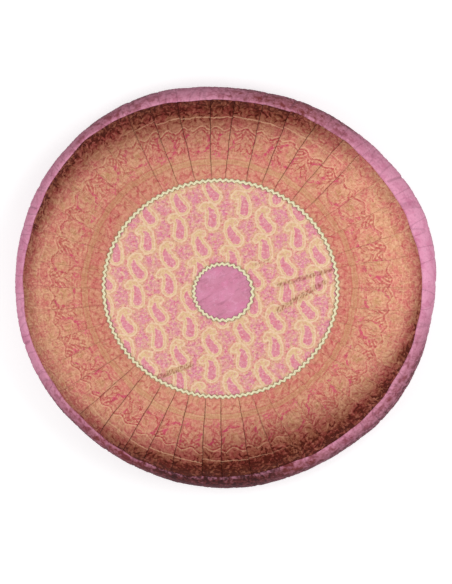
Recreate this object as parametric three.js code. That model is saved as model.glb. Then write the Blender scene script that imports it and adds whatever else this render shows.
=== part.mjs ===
// Round floor cushion, box-edged and hand-filled, lying on its plain back.
// Its face is a velvet disc, a ring of paisley brocade and a wide ring of brocade laid in radial
// knife tucks, with a zigzag braid over each join. Its side is a band of crushed velvet.
// Millimetres, +Z up. The origin is on the resting plane, under the middle of the cushion.

import * as THREE from "three";

// The cushion's outline and heights
const SEAM_RADIUS = 272;
const SIDE_RADIUS = 293.7;
const BACK_SEAM_HEIGHT = 12;
const FACE_SEAM_HEIGHT = 100;
const CROWN_RISE = 45;

// How the hand-filled outline strays from a circle: so many swells round it, each so high in
// millimetres, with one of them at that angle in degrees from +X
const SEAM_SWELLS = [
  { count: 2, height: 7.3, at: -10 },
  { count: 3, height: 2.8, at: 14.3 },
  { count: 5, height: 1.1, at: -18.4 },
  { count: 6, height: 1.15, at: 9 },
];
const SIDE_SWELLS = [
  { count: 2, height: 7.6, at: -7 },
  { count: 3, height: 2.8, at: 14.3 },
  { count: 4, height: 1.3, at: 23.5 },
  { count: 5, height: 0.65, at: -24.4 },
  { count: 6, height: 0.65, at: 21.5 },
  { count: 7, height: 0.8, at: 14.3 },
  { count: 8, height: 0.65, at: 17 },
];

// The crown is broad in the middle and rounds over into the seam: the share of its fall that
// comes close to the seam, and the powers of both falls
const SHOULDER_SHARE = 0.41;
const BROAD_POWER = 2.4;
const SHOULDER_POWER = 14;

// The filling's slow lumps on the face: height, distance between them and where they start
const LUMPS = [
  { height: 1.3, length: 210, heading: 25, start: 0.6 },
  { height: 1.1, length: 165, heading: 115, start: 2.1 },
];

// The back lies flat out to this share of the seam's radius, then curves up to its own seam
const REST_SHARE = 0.76;
const BACK_CURVE_POWER = 2.4;

// Cloth thickness, and the space that neighbouring pieces keep beside, over and under each other
const CLOTH = 1.8;
const JOIN_GAP = 0.5;
const BRAID_GAP = 0.5;
const BODY_GAP = 0.6;
const SEAM_GAP = 0.7;

// The two joins on the face, as ovals: their middles and half widths
const OUTER_JOIN = { x: 2, y: 1, halfX: 162, halfY: 150 };
const INNER_JOIN = { x: 7, y: -3, halfX: 40.5, halfY: 38.8 };

// The braid: its whole width is the strand's width and the swing to both sides
const BRAID_STRAND = 3.4;
const BRAID_SWING = 1.7;
const BRAID_THICKNESS = 1.4;
const OUTER_BRAID_WAVES = 118;
const INNER_BRAID_WAVES = 32;

// Knife tucks: each rises slowly from its low edge to its fold and drops in the fold's width.
// Angles are in degrees from +X.
const TUCK_COUNT = 43;
const FIRST_TUCK = 34.5;
const TUCK_DRIFT = 1.5;
const TUCK_UNEVENNESS = 0.7;
const TUCK_UNEVENNESS_STEP = 2.4;
const TUCK_LEAN = 3.5;
const TUCK_LEAN_STEP = 1.7;
const TUCK_LEAN_PIVOT = 0.8;
const TUCK_FOLD_WIDTH = 2.2;
const TUCK_LOW = -0.5;
const TUCK_MIDDLE = 0.3;
const TUCK_HIGH = 1.0;

// The braid's stitches hold the cloth down: how far from a join it starts and ends to rise free
const HELD_DOWN = 3.5;
const TUCK_FREE = 16;
const CREASE_FREE = 12;

// Soft creases on the paisley ring and the disc, each a low ridge between two places
const CREASES = [
  { fromX: 84, fromY: 7, toX: 138, toY: 23, rise: 1.2, halfWidth: 5 },
  { fromX: 84, fromY: -27, toX: 134, toY: 2, rise: 1.2, halfWidth: 5 },
  { fromX: 52, fromY: 29, toX: 72, toY: 37, rise: 0.7, halfWidth: 4 },
  { fromX: -86, fromY: -112, toX: -38, toY: -98, rise: 0.8, halfWidth: 5 },
  { fromX: 10, fromY: 22, toX: 2, toY: -4, rise: 0.6, halfWidth: 4 },
];

// How finely the pieces are divided: columns round the cushion, and rows as shares of the way out
const BODY_COLUMNS = 88;
const PAISLEY_COLUMNS = 118;
const PATCH_COLUMNS = 44;
const INNER_FACE_SHARES = [0.15, 0.3, 0.45, 0.58];
const RING_SHARES = [0.69, 0.78, 0.85, 0.91, 0.955, 1];
const BACK_SHARES = [0.4, REST_SHARE, 0.82, 0.88, 0.94, 1];
const PAISLEY_ROWS = [0, 0.2, 0.4, 0.6, 0.8, 1];
const PATCH_ROWS = [0.4, 0.72, 1];
const SIDE_STEPS = 8;

// Outlines

const FULL_TURN = 2 * Math.PI;
const radians = THREE.MathUtils.degToRad;
const smoothstep = THREE.MathUtils.smoothstep;

function outlineRadius(mean, swells, turn) {
  let radius = mean;
  for (const { count, height, at } of swells) {
    radius += height * Math.cos(count * (turn - radians(at)));
  }
  return radius;
}

const seamRadius = (turn) => outlineRadius(SEAM_RADIUS, SEAM_SWELLS, turn);
const sideRadius = (turn) => outlineRadius(SIDE_RADIUS, SIDE_SWELLS, turn);

// How far an oval's edge is from the origin in the direction of a turn
function joinRadius(join, turn) {
  const alongX = Math.cos(turn) / join.halfX;
  const alongY = Math.sin(turn) / join.halfY;
  const middleX = join.x / join.halfX;
  const middleY = join.y / join.halfY;
  const a = alongX ** 2 + alongY ** 2;
  const b = alongX * middleX + alongY * middleY;
  const c = middleX ** 2 + middleY ** 2 - 1;
  return (b + Math.sqrt(b ** 2 - a * c)) / a;
}

// Surfaces

// The distance over which a surface's slope is taken
const NEAR = 0.25;

function faceHeight(x, y) {
  const turn = Math.atan2(y, x);
  const share = Math.hypot(x, y) / seamRadius(turn);
  const broad = (1 - SHOULDER_SHARE) * share ** BROAD_POWER;
  const shoulder = SHOULDER_SHARE * share ** SHOULDER_POWER;
  let lumps = 0;
  for (const { height, length, heading, start } of LUMPS) {
    const along = x * Math.cos(radians(heading)) + y * Math.sin(radians(heading));
    lumps += height * Math.sin((FULL_TURN * along) / length + start);
  }
  const heldBySeam = Math.max(0, 1 - share ** BROAD_POWER);
  return FACE_SEAM_HEIGHT + CROWN_RISE * (1 - broad - shoulder) + lumps * heldBySeam;
}

function backHeight(x, y) {
  const share = Math.hypot(x, y) / seamRadius(Math.atan2(y, x));
  const lifted = Math.max(0, (share - REST_SHARE) / (1 - REST_SHARE));
  return BACK_SEAM_HEIGHT * lifted ** BACK_CURVE_POWER;
}

function upwardNormal(height, x, y) {
  const slopeX = (height(x + NEAR, y) - height(x - NEAR, y)) / (2 * NEAR);
  const slopeY = (height(x, y + NEAR) - height(x, y - NEAR)) / (2 * NEAR);
  return new THREE.Vector3(-slopeX, -slopeY, 1).normalize();
}

// The point of a surface at a turn and a distance, moved so far along its upward normal
function surfacePoint(height, turn, distance, offset) {
  const x = distance * Math.cos(turn);
  const y = distance * Math.sin(turn);
  return new THREE.Vector3(x, y, height(x, y)).addScaledVector(upwardNormal(height, x, y), offset);
}

const facePoint = (turn, distance, offset) => surfacePoint(faceHeight, turn, distance, offset);
const backPoint = (turn, distance, offset) => surfacePoint(backHeight, turn, distance, offset);

// A surface's slope at its seam, outwards and in the plane of the turn
function outwardAtSeam(height, turn) {
  const radius = seamRadius(turn);
  const inside = surfacePoint(height, turn, radius - NEAR, 0);
  return surfacePoint(height, turn, radius, 0).sub(inside).normalize();
}

// How far the creases lift the cloth at a place on the face
function creaseRise(x, y) {
  const here = new THREE.Vector3(x, y, 0);
  const nearest = new THREE.Vector3();
  let rise = 0;
  for (const crease of CREASES) {
    const line = new THREE.Line3(
      new THREE.Vector3(crease.fromX, crease.fromY, 0),
      new THREE.Vector3(crease.toX, crease.toY, 0),
    );
    line.closestPointToPoint(here, true, nearest);
    rise += crease.rise * Math.exp(-((here.distanceTo(nearest) / crease.halfWidth) ** 2));
  }
  return rise;
}

// Solids

// One closed skin through sections that stand round the cushion, each running outwards above and
// back below. With poles the sections end on them, without poles each section is a closed loop.
function closedSkin(sections, poles = []) {
  const around = sections.length;
  const along = sections[0].length;
  const points = sections.flat().concat(poles);
  const faces = [];
  const cornerAt = (column, row) => (column % around) * along + (row % along);
  const lastRow = poles.length ? along - 1 : along;
  for (let column = 0; column < around; column += 1) {
    for (let row = 0; row < lastRow; row += 1) {
      const inner = cornerAt(column, row);
      const outer = cornerAt(column, row + 1);
      const nextInner = cornerAt(column + 1, row);
      const nextOuter = cornerAt(column + 1, row + 1);
      faces.push(inner, outer, nextOuter, inner, nextOuter, nextInner);
    }
    if (poles.length) {
      const top = around * along;
      const bottom = top + 1;
      faces.push(top, cornerAt(column, 0), cornerAt(column + 1, 0));
      faces.push(bottom, cornerAt(column + 1, along - 1), cornerAt(column, along - 1));
    }
  }
  const geometry = new THREE.BufferGeometry().setFromPoints(points);
  geometry.setIndex(faces);
  geometry.computeVertexNormals();
  return geometry;
}

function roundOf(columns, sectionAt) {
  const sections = [];
  for (let column = 0; column < columns; column += 1) {
    sections.push(sectionAt((FULL_TURN * column) / columns, column));
  }
  return sections;
}

// The filled body under the sheets, with the groove that takes each sheet's edge and the velvet
// side bulging between the two seams
function velvetSide() {
  const sections = roundOf(BODY_COLUMNS, (turn) => {
    const radius = seamRadius(turn);
    const under = CLOTH + BODY_GAP;
    const faceOut = outwardAtSeam(faceHeight, turn);
    const backOut = outwardAtSeam(backHeight, turn);
    const face = [...INNER_FACE_SHARES, ...RING_SHARES].map((share) =>
      facePoint(turn, share * radius, -under),
    );
    face.at(-1).addScaledVector(faceOut, SEAM_GAP);
    const back = [...BACK_SHARES].reverse().map((share) => backPoint(turn, share * radius, under));
    back[0].addScaledVector(backOut, SEAM_GAP);
    const faceSeam = facePoint(turn, radius, 0).addScaledVector(faceOut, SEAM_GAP);
    const backSeam = backPoint(turn, radius, 0).addScaledVector(backOut, SEAM_GAP);
    const start = Math.hypot(faceSeam.x, faceSeam.y);
    const middle = (faceSeam.z + backSeam.z) / 2;
    const half = (faceSeam.z - backSeam.z) / 2;
    const side = [];
    for (let step = 1; step < SIDE_STEPS; step += 1) {
      const swing = (Math.PI * step) / SIDE_STEPS;
      const distance = start + (sideRadius(turn) - start) * Math.sin(swing);
      side.push(
        new THREE.Vector3(
          distance * Math.cos(turn),
          distance * Math.sin(turn),
          middle + half * Math.cos(swing),
        ),
      );
    }
    return [...face, faceSeam, ...side, backSeam, ...back];
  });
  const poles = [facePoint(0, 0, -CLOTH - BODY_GAP), backPoint(0, 0, CLOTH + BODY_GAP)];
  return closedSkin(sections, poles);
}

// Tucks are numbered from the first. Their angles drift and stray as a hand lays them.
function tuckTurn(number, share) {
  const tuck = number % TUCK_COUNT;
  const wholeTurns = Math.floor(number / TUCK_COUNT);
  const even = (360 * tuck) / TUCK_COUNT;
  const drift = TUCK_DRIFT * (1 - Math.cos(radians(even)));
  const stray = TUCK_UNEVENNESS * Math.sin(TUCK_UNEVENNESS_STEP * tuck);
  const lean = TUCK_LEAN * Math.sin(TUCK_LEAN_STEP * tuck) * (share - TUCK_LEAN_PIVOT);
  return radians(FIRST_TUCK + even + drift + stray + lean) + wholeTurns * FULL_TURN;
}

// The ring has three columns to a tuck: its low edge, its middle and its raised fold
function ringPanel() {
  const sections = [];
  for (let tuck = 0; tuck < TUCK_COUNT; tuck += 1) {
    for (const place of ["low", "middle", "high"]) {
      const turnAt = (share) => {
        const low = tuckTurn(tuck, share);
        const next = tuckTurn(tuck + 1, share);
        const fold = TUCK_FOLD_WIDTH / (share * SEAM_RADIUS);
        return { low, middle: (low + next - fold) / 2, high: next - fold }[place];
      };
      const lift = { low: TUCK_LOW, middle: TUCK_MIDDLE, high: TUCK_HIGH }[place];
      const innerTurn = turnAt(OUTER_JOIN.halfX / SEAM_RADIUS);
      const innerDistance = joinRadius(OUTER_JOIN, innerTurn) + JOIN_GAP / 2;
      const spots = [{ turn: innerTurn, distance: innerDistance }];
      for (const share of RING_SHARES) {
        const turn = turnAt(share);
        spots.push({ turn, distance: share * seamRadius(turn) });
      }
      const above = spots.map(({ turn, distance }) => {
        const free = smoothstep(distance - innerDistance, HELD_DOWN, TUCK_FREE);
        return facePoint(turn, distance, lift * free);
      });
      const below = spots.map(({ turn, distance }) => facePoint(turn, distance, -CLOTH));
      sections.push([...above, ...below.reverse()]);
    }
  }
  return closedSkin(sections);
}

function paisleyPanel() {
  const sections = roundOf(PAISLEY_COLUMNS, (turn) => {
    const start = joinRadius(INNER_JOIN, turn) + JOIN_GAP / 2;
    const end = joinRadius(OUTER_JOIN, turn) - JOIN_GAP / 2;
    const distances = PAISLEY_ROWS.map((row) => start + (end - start) * row);
    const above = distances.map((distance) => {
      const x = distance * Math.cos(turn);
      const y = distance * Math.sin(turn);
      const nearest = Math.min(distance - start, end - distance);
      const free = smoothstep(nearest, HELD_DOWN, CREASE_FREE);
      return facePoint(turn, distance, creaseRise(x, y) * free);
    });
    const below = distances.map((distance) => facePoint(turn, distance, -CLOTH));
    return [...above, ...below.reverse()];
  });
  return closedSkin(sections);
}

function centrePatch() {
  const sections = roundOf(PATCH_COLUMNS, (turn) => {
    const end = joinRadius(INNER_JOIN, turn) - JOIN_GAP / 2;
    const above = PATCH_ROWS.map((row) => {
      const x = end * row * Math.cos(turn);
      const y = end * row * Math.sin(turn);
      const free = smoothstep(end * (1 - row), HELD_DOWN, CREASE_FREE);
      return facePoint(turn, end * row, creaseRise(x, y) * free);
    });
    const below = PATCH_ROWS.map((row) => facePoint(turn, end * row, -CLOTH));
    return [...above, ...below.reverse()];
  });
  return closedSkin(sections, [facePoint(0, 0, creaseRise(0, 0)), facePoint(0, 0, -CLOTH)]);
}

// A braid lies on the face over a join, swinging from side to side of it
function braid(join, waves) {
  const sections = roundOf(2 * waves, (turn, column) => {
    const swing = column % 2 ? BRAID_SWING : -BRAID_SWING;
    const middle = joinRadius(join, turn) + swing;
    const inside = middle - BRAID_STRAND / 2;
    const outside = middle + BRAID_STRAND / 2;
    const high = BRAID_GAP + BRAID_THICKNESS;
    return [
      facePoint(turn, inside, high),
      facePoint(turn, outside, high),
      facePoint(turn, outside, BRAID_GAP),
      facePoint(turn, inside, BRAID_GAP),
    ];
  });
  return closedSkin(sections);
}

function backPanel() {
  const sections = roundOf(BODY_COLUMNS, (turn) => {
    const radius = seamRadius(turn);
    const inside = BACK_SHARES.map((share) => backPoint(turn, share * radius, CLOTH));
    const outside = BACK_SHARES.map((share) => backPoint(turn, share * radius, 0));
    return [...inside, ...outside.reverse()];
  });
  return closedSkin(sections, [backPoint(0, 0, CLOTH), backPoint(0, 0, 0)]);
}

// The cushion

function piece(name, geometry, color, roughness, metalness = 0) {
  const material = new THREE.MeshStandardMaterial({ color, roughness, metalness });
  const mesh = new THREE.Mesh(geometry, material);
  mesh.name = name;
  return mesh;
}

const BRAID_COLOUR = 0xe8dfae;

const cushion = new THREE.Group();
cushion.add(
  piece("velvet_side", velvetSide(), 0xc8809c, 0.85),
  piece("ring_panel", ringPanel(), 0xcf9071, 0.5, 0.3),
  piece("paisley_panel", paisleyPanel(), 0xe2a29a, 0.55, 0.2),
  piece("centre_patch", centrePatch(), 0xcb789f, 0.85),
  piece("outer_trim", braid(OUTER_JOIN, OUTER_BRAID_WAVES), BRAID_COLOUR, 0.6),
  piece("inner_trim", braid(INNER_JOIN, INNER_BRAID_WAVES), BRAID_COLOUR, 0.6),
  piece("back_panel", backPanel(), 0xb06f86, 0.8),
);

// The outline is uneven, so the whole is moved to stand with its middle over the origin
const middle = new THREE.Box3().setFromObject(cushion).getCenter(new THREE.Vector3());
cushion.position.set(-middle.x, -middle.y, 0);

export default cushion;
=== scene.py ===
# Round floor cushion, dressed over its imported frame.
# Its face is a velvet disc, a ring of paisley brocade and a ring of brocade laid in knife tucks,
# with a zigzag braid over each join. Its side is crushed velvet and its back is plain.
# Lengths are worked out in millimetres, and a mesh's points are written in metres.

import math
from collections import namedtuple

import bmesh
import bpy
import numpy as np
from mathutils import Matrix, Vector


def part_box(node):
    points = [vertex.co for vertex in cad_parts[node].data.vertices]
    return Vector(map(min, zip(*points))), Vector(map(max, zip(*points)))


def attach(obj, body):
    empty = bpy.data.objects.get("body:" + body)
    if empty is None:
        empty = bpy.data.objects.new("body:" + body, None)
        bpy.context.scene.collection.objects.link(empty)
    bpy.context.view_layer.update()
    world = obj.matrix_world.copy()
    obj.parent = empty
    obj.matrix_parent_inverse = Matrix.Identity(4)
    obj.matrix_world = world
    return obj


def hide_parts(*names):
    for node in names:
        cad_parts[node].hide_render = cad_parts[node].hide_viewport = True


bl_info = {
    "name": "Round Floor Cushion",
    "version": (1, 0, 0),
    "blender": (4, 5, 0),
    "location": "View3D > Sidebar > Cushion",
    "description": "Sews a round tucked floor cushion over its frame and lights it",
    "category": "Object",
}

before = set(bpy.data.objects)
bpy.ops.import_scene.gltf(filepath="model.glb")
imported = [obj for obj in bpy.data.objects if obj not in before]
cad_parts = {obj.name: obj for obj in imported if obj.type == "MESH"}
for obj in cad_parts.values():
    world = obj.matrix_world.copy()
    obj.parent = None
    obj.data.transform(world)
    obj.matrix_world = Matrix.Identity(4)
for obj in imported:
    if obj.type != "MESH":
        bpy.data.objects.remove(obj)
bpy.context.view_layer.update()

MM = 0.001
FULL_TURN = 2 * math.pi


def colour(red, green, blue):
    """A screen colour, each part from 0 to 255, as the linear colour that Blender works in"""
    parts = [part / 255 for part in (red, green, blue)]
    linear = [p / 12.92 if p <= 0.04045 else ((p + 0.055) / 1.055) ** 2.4 for p in parts]
    return (*linear, 1.0)


# The cushion's outline and heights, as the maker cut and filled it

SEAM_RADIUS = 273
SIDE_RADIUS = 293.7
BACK_SEAM_HEIGHT = 12
FACE_SEAM_HEIGHT = 100
CROWN_RISE = 45

Swell = namedtuple("Swell", "count height at")
SEAM_SWELLS = [
    Swell(1, 2.2, 165),
    Swell(2, 7.7, -8),
    Swell(3, 2.9, 12),
    Swell(5, 1.1, -18.4),
    Swell(6, 1.15, 9),
    Swell(17, 0.45, 4),
    Swell(26, 0.4, 9),
    Swell(39, 0.3, 3),
]
SIDE_SWELLS = [
    Swell(2, 7.6, -7),
    Swell(3, 2.8, 14.3),
    Swell(4, 1.3, 23.5),
    Swell(5, 0.65, -24.4),
    Swell(6, 0.65, 21.5),
    Swell(7, 0.8, 14.3),
    Swell(8, 0.65, 17),
    Swell(17, 0.2, 2),
    Swell(29, 0.18, 7),
    Swell(47, 0.15, 4),
]

SHOULDER_SHARE = 0.41
BROAD_POWER = 2.4
SHOULDER_POWER = 14

Lump = namedtuple("Lump", "height length heading start")
LUMPS = [Lump(1.3, 210, 25, 0.6), Lump(1.1, 165, 115, 2.1)]

REST_SHARE = 0.76
BACK_CURVE_POWER = 2.4

# The body's cloth is drawn a little under the sheets that are sewn over it
UNDER_SHEETS = 2.4
SEAM_GAP = 0.7

# The two joins on the face, as ovals: their middles and half widths
Oval = namedtuple("Oval", "x y half_x half_y")
OUTER_JOIN = Oval(2, 1, 162, 150)
INNER_JOIN = Oval(7, -3, 40.5, 38.8)

# Knife tucks round the ring, with angles in degrees from +X
TUCK_COUNT = 43
FIRST_TUCK = 34.5
TUCK_DRIFT = 1.5
TUCK_UNEVENNESS = 0.7
TUCK_UNEVENNESS_STEP = 2.4
TUCK_LEAN = 3.5
TUCK_LEAN_STEP = 1.7
TUCK_LEAN_PIVOT = 0.8
TUCK_LOW = -0.5
TUCK_HIGH = 1.0

# Each tuck takes up this much of the strip at the seam
STRIP_PER_TUCK = FULL_TURN * SEAM_RADIUS / TUCK_COUNT

# The braid
BRAID_STRAND = 4.4
BRAID_SWING = 1.15
BRAID_THICKNESS = 1.4
BRAID_GAP = 0.5
OUTER_BRAID_WAVES = 118
INNER_BRAID_WAVES = 32

# Soft creases on the paisley ring and the disc
Crease = namedtuple("Crease", "from_x from_y to_x to_y rise half_width")
CREASES = [
    Crease(84, 7, 155, 28, 1.2, 4.6),
    Crease(83, -27, 146, 11, 1.25, 5.4),
    Crease(49, 35, 71, 42, 0.9, 4),
    Crease(-90, -124, -38, -104, 1.4, 5),
    Crease(10, 22, 2, -4, 0.6, 4),
]


def outline_radius(mean, swells, turn):
    radius = np.full_like(np.asarray(turn, dtype=float), mean)
    for swell in swells:
        radius = radius + swell.height * np.cos(swell.count * (turn - math.radians(swell.at)))
    return radius


def seam_radius(turn):
    return outline_radius(SEAM_RADIUS, SEAM_SWELLS, turn)


def side_radius(turn):
    return outline_radius(SIDE_RADIUS, SIDE_SWELLS, turn)


def spot(turn, distance):
    return distance * np.cos(turn), distance * np.sin(turn)


def join_radius(join, turn):
    """How far an oval's edge is from the origin in the direction of a turn"""
    along_x = np.cos(turn) / join.half_x
    along_y = np.sin(turn) / join.half_y
    middle_x = join.x / join.half_x
    middle_y = join.y / join.half_y
    a = along_x**2 + along_y**2
    b = along_x * middle_x + along_y * middle_y
    c = middle_x**2 + middle_y**2 - 1
    return (b + np.sqrt(b**2 - a * c)) / a


def oval_area(join):
    """In square metres"""
    return math.pi * join.half_x * join.half_y * MM**2


def rise_between(value, low, high):
    """0 below low, 1 above high and a smooth rise between"""
    share = np.clip((value - low) / (high - low), 0, 1)
    return share * share * (3 - 2 * share)


def face_height(x, y):
    share = np.hypot(x, y) / seam_radius(np.arctan2(y, x))
    broad = (1 - SHOULDER_SHARE) * share**BROAD_POWER
    shoulder = SHOULDER_SHARE * share**SHOULDER_POWER
    lumps = 0
    for lump in LUMPS:
        heading = math.radians(lump.heading)
        along = x * math.cos(heading) + y * math.sin(heading)
        lumps = lumps + lump.height * np.sin(FULL_TURN * along / lump.length + lump.start)
    held_by_seam = np.maximum(0, 1 - share**BROAD_POWER)
    return FACE_SEAM_HEIGHT + CROWN_RISE * (1 - broad - shoulder) + lumps * held_by_seam


def back_height(x, y):
    share = np.hypot(x, y) / seam_radius(np.arctan2(y, x))
    lifted = np.maximum(0, (share - REST_SHARE) / (1 - REST_SHARE))
    return BACK_SEAM_HEIGHT * lifted**BACK_CURVE_POWER


NEAR = 0.25


def surface_point(height, turn, distance, offset):
    """The point of a surface at a turn and a distance, moved along its upward normal"""
    x, y = spot(turn, distance)
    slope_x = (height(x + NEAR, y) - height(x - NEAR, y)) / (2 * NEAR)
    slope_y = (height(x, y + NEAR) - height(x, y - NEAR)) / (2 * NEAR)
    normal = np.stack([-slope_x, -slope_y, np.ones_like(slope_x)], axis=-1)
    normal /= np.linalg.norm(normal, axis=-1, keepdims=True)
    place = np.stack([x, y, height(x, y)], axis=-1)
    return place + normal * np.asarray(offset)[..., None]


def crease_rise(x, y):
    rise = 0
    for crease in CREASES:
        run_x = crease.to_x - crease.from_x
        run_y = crease.to_y - crease.from_y
        reach = (x - crease.from_x) * run_x + (y - crease.from_y) * run_y
        share = np.clip(reach / (run_x**2 + run_y**2), 0, 1)
        apart = np.hypot(x - crease.from_x - share * run_x, y - crease.from_y - share * run_y)
        rise = rise + crease.rise * np.exp(-((apart / crease.half_width) ** 2))
    return rise


def standing_shift():
    """The uneven outline is moved to stand with its middle over the origin"""
    low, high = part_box("velvet_side")
    turns = np.arange(0, FULL_TURN, FULL_TURN / 88)
    rim_x, rim_y = spot(turns, side_radius(turns))
    shift_x = (low[0] + high[0]) / 2 / MM - (rim_x.max() + rim_x.min()) / 2
    shift_y = (low[1] + high[1]) / 2 / MM - (rim_y.max() + rim_y.min()) / 2
    return np.array([shift_x, shift_y, 0])


SHIFT = standing_shift()


# Round meshes: a flat grid is rolled round, and every point is moved to its place


def smoothed(bm, mesh, facing=0):
    """Ends the bmesh in the mesh, shaded smooth. A sheet faces up or down with 1 or -1."""
    bmesh.ops.recalc_face_normals(bm, faces=bm.faces[:])
    if facing * sum(face.normal.z * face.calc_area() for face in bm.faces) < 0:
        bmesh.ops.reverse_faces(bm, faces=bm.faces[:])
    for face in bm.faces:
        face.smooth = True
    bm.to_mesh(mesh)
    bm.free()
    return mesh


class RoundMesh:
    """A grid whose columns stand round the cushion, with each point's row and column"""

    def __init__(self, name, rows, columns):
        bm = bmesh.new()
        bmesh.ops.create_grid(bm, x_segments=columns, y_segments=rows - 1, size=1)
        self.mesh = bpy.data.meshes.new(name)
        bm.to_mesh(self.mesh)
        bm.free()
        self.columns = columns
        flat = self.points()
        self.row = np.rint((flat[:, 1] + 1) / 2 * (rows - 1)).astype(int)
        numbered = np.rint((flat[:, 0] + 1) / 2 * columns).astype(int)
        self.closing = numbered == columns
        self.column = numbered % columns
        self.turn = self.column * FULL_TURN / columns

    def points(self):
        flat = np.empty(len(self.mesh.vertices) * 3)
        self.mesh.vertices.foreach_get("co", flat)
        return flat.reshape(-1, 3)

    def move_to(self, places):
        """Places are in millimetres, before the cushion is moved over the origin"""
        self.mesh.vertices.foreach_set("co", ((places + SHIFT) * MM).ravel())
        self.mesh.update()

    def paint(self, name, values):
        """A number for each point, which materials read by its name"""
        layer = self.mesh.attributes.new(name, "FLOAT", "POINT")
        layer.data.foreach_set("value", np.asarray(values, dtype=np.float32))

    def painted(self, name):
        values = np.empty(len(self.mesh.vertices))
        self.mesh.attributes[name].data.foreach_get("value", values)
        return values

    def map_cloth(self, across, along, whole_length=0):
        """The cloth's own flat places in metres, as the piece's UV map. Across is greater by
        whole_length where the last column meets the first."""
        places = np.stack([across + whole_length * self.closing, along], axis=-1)
        corners = np.empty(len(self.mesh.loops), dtype=int)
        self.mesh.loops.foreach_get("vertex_index", corners)
        layer = self.mesh.uv_layers.new(name="cloth")
        layer.data.foreach_set("uv", (places[corners] * MM).ravel())

    def finish(self, facing=0):
        """Merges what meets and smooths the mesh"""
        bm = bmesh.new()
        bm.from_mesh(self.mesh)
        bmesh.ops.remove_doubles(bm, verts=bm.verts[:], dist=1e-6)
        return smoothed(bm, self.mesh, facing)


def put_in_scene(mesh, material, slot, *nodes):
    """Makes the mesh a piece that rides on the cushion and stands for its CAD nodes"""
    piece = bpy.data.objects.new(mesh.name, mesh)
    bpy.context.scene.collection.objects.link(piece)
    mesh.materials.append(material)
    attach(piece, "root")
    if nodes:
        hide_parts(*nodes)
    return piece


def give_thickness(piece, thickness):
    wall = piece.modifiers.new("Cloth thickness", "SOLIDIFY")
    wall.thickness = thickness
    wall.offset = -1
    wall.use_even_offset = False
    wall.use_rim = True


# Node materials


class Wire:
    """One output of a material's nodes, which arithmetic can be written with"""

    def __init__(self, nodes, socket):
        self.nodes = nodes
        self.socket = socket

    def math(self, operation, *others):
        return self.nodes.math(operation, self, *others)

    def __add__(self, other):
        return self.math("ADD", other)

    def __radd__(self, other):
        return self.math("ADD", other)

    def __sub__(self, other):
        return self.math("SUBTRACT", other)

    def __rsub__(self, other):
        return self.nodes.math("SUBTRACT", other, self)

    def __mul__(self, other):
        return self.math("MULTIPLY", other)

    def __rmul__(self, other):
        return self.math("MULTIPLY", other)

    def __truediv__(self, other):
        return self.math("DIVIDE", other)

    def __rtruediv__(self, other):
        return self.nodes.math("DIVIDE", other, self)

    def __abs__(self):
        return self.math("ABSOLUTE")

    def sin(self):
        return self.math("SINE")

    def cos(self):
        return self.math("COSINE")

    def root(self):
        return self.math("SQRT")

    def floor(self):
        return self.math("FLOOR")

    def least(self, other):
        return self.math("MINIMUM", other)

    def most(self, other):
        return self.math("MAXIMUM", other)

    def blended_least(self, other, blend):
        return self.math("SMOOTH_MIN", other, blend)

    def repeated(self, length):
        """Starts again every length, from minus half of it to half of it"""
        return self.math("WRAP", length / 2, -length / 2)

    def rise(self, low, high):
        """0 below low, 1 above high and a smooth rise between"""
        settings = {"interpolation_type": "SMOOTHSTEP", "clamp": True}
        return self.nodes.add("ShaderNodeMapRange", settings, {0: self, 1: low, 2: high})

    def fall(self, low, high):
        return 1 - self.rise(low, high)

    def line(self, half_width, soft):
        """1 on a line along the places where this is 0"""
        return abs(self).fall(half_width, half_width + soft)


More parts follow.
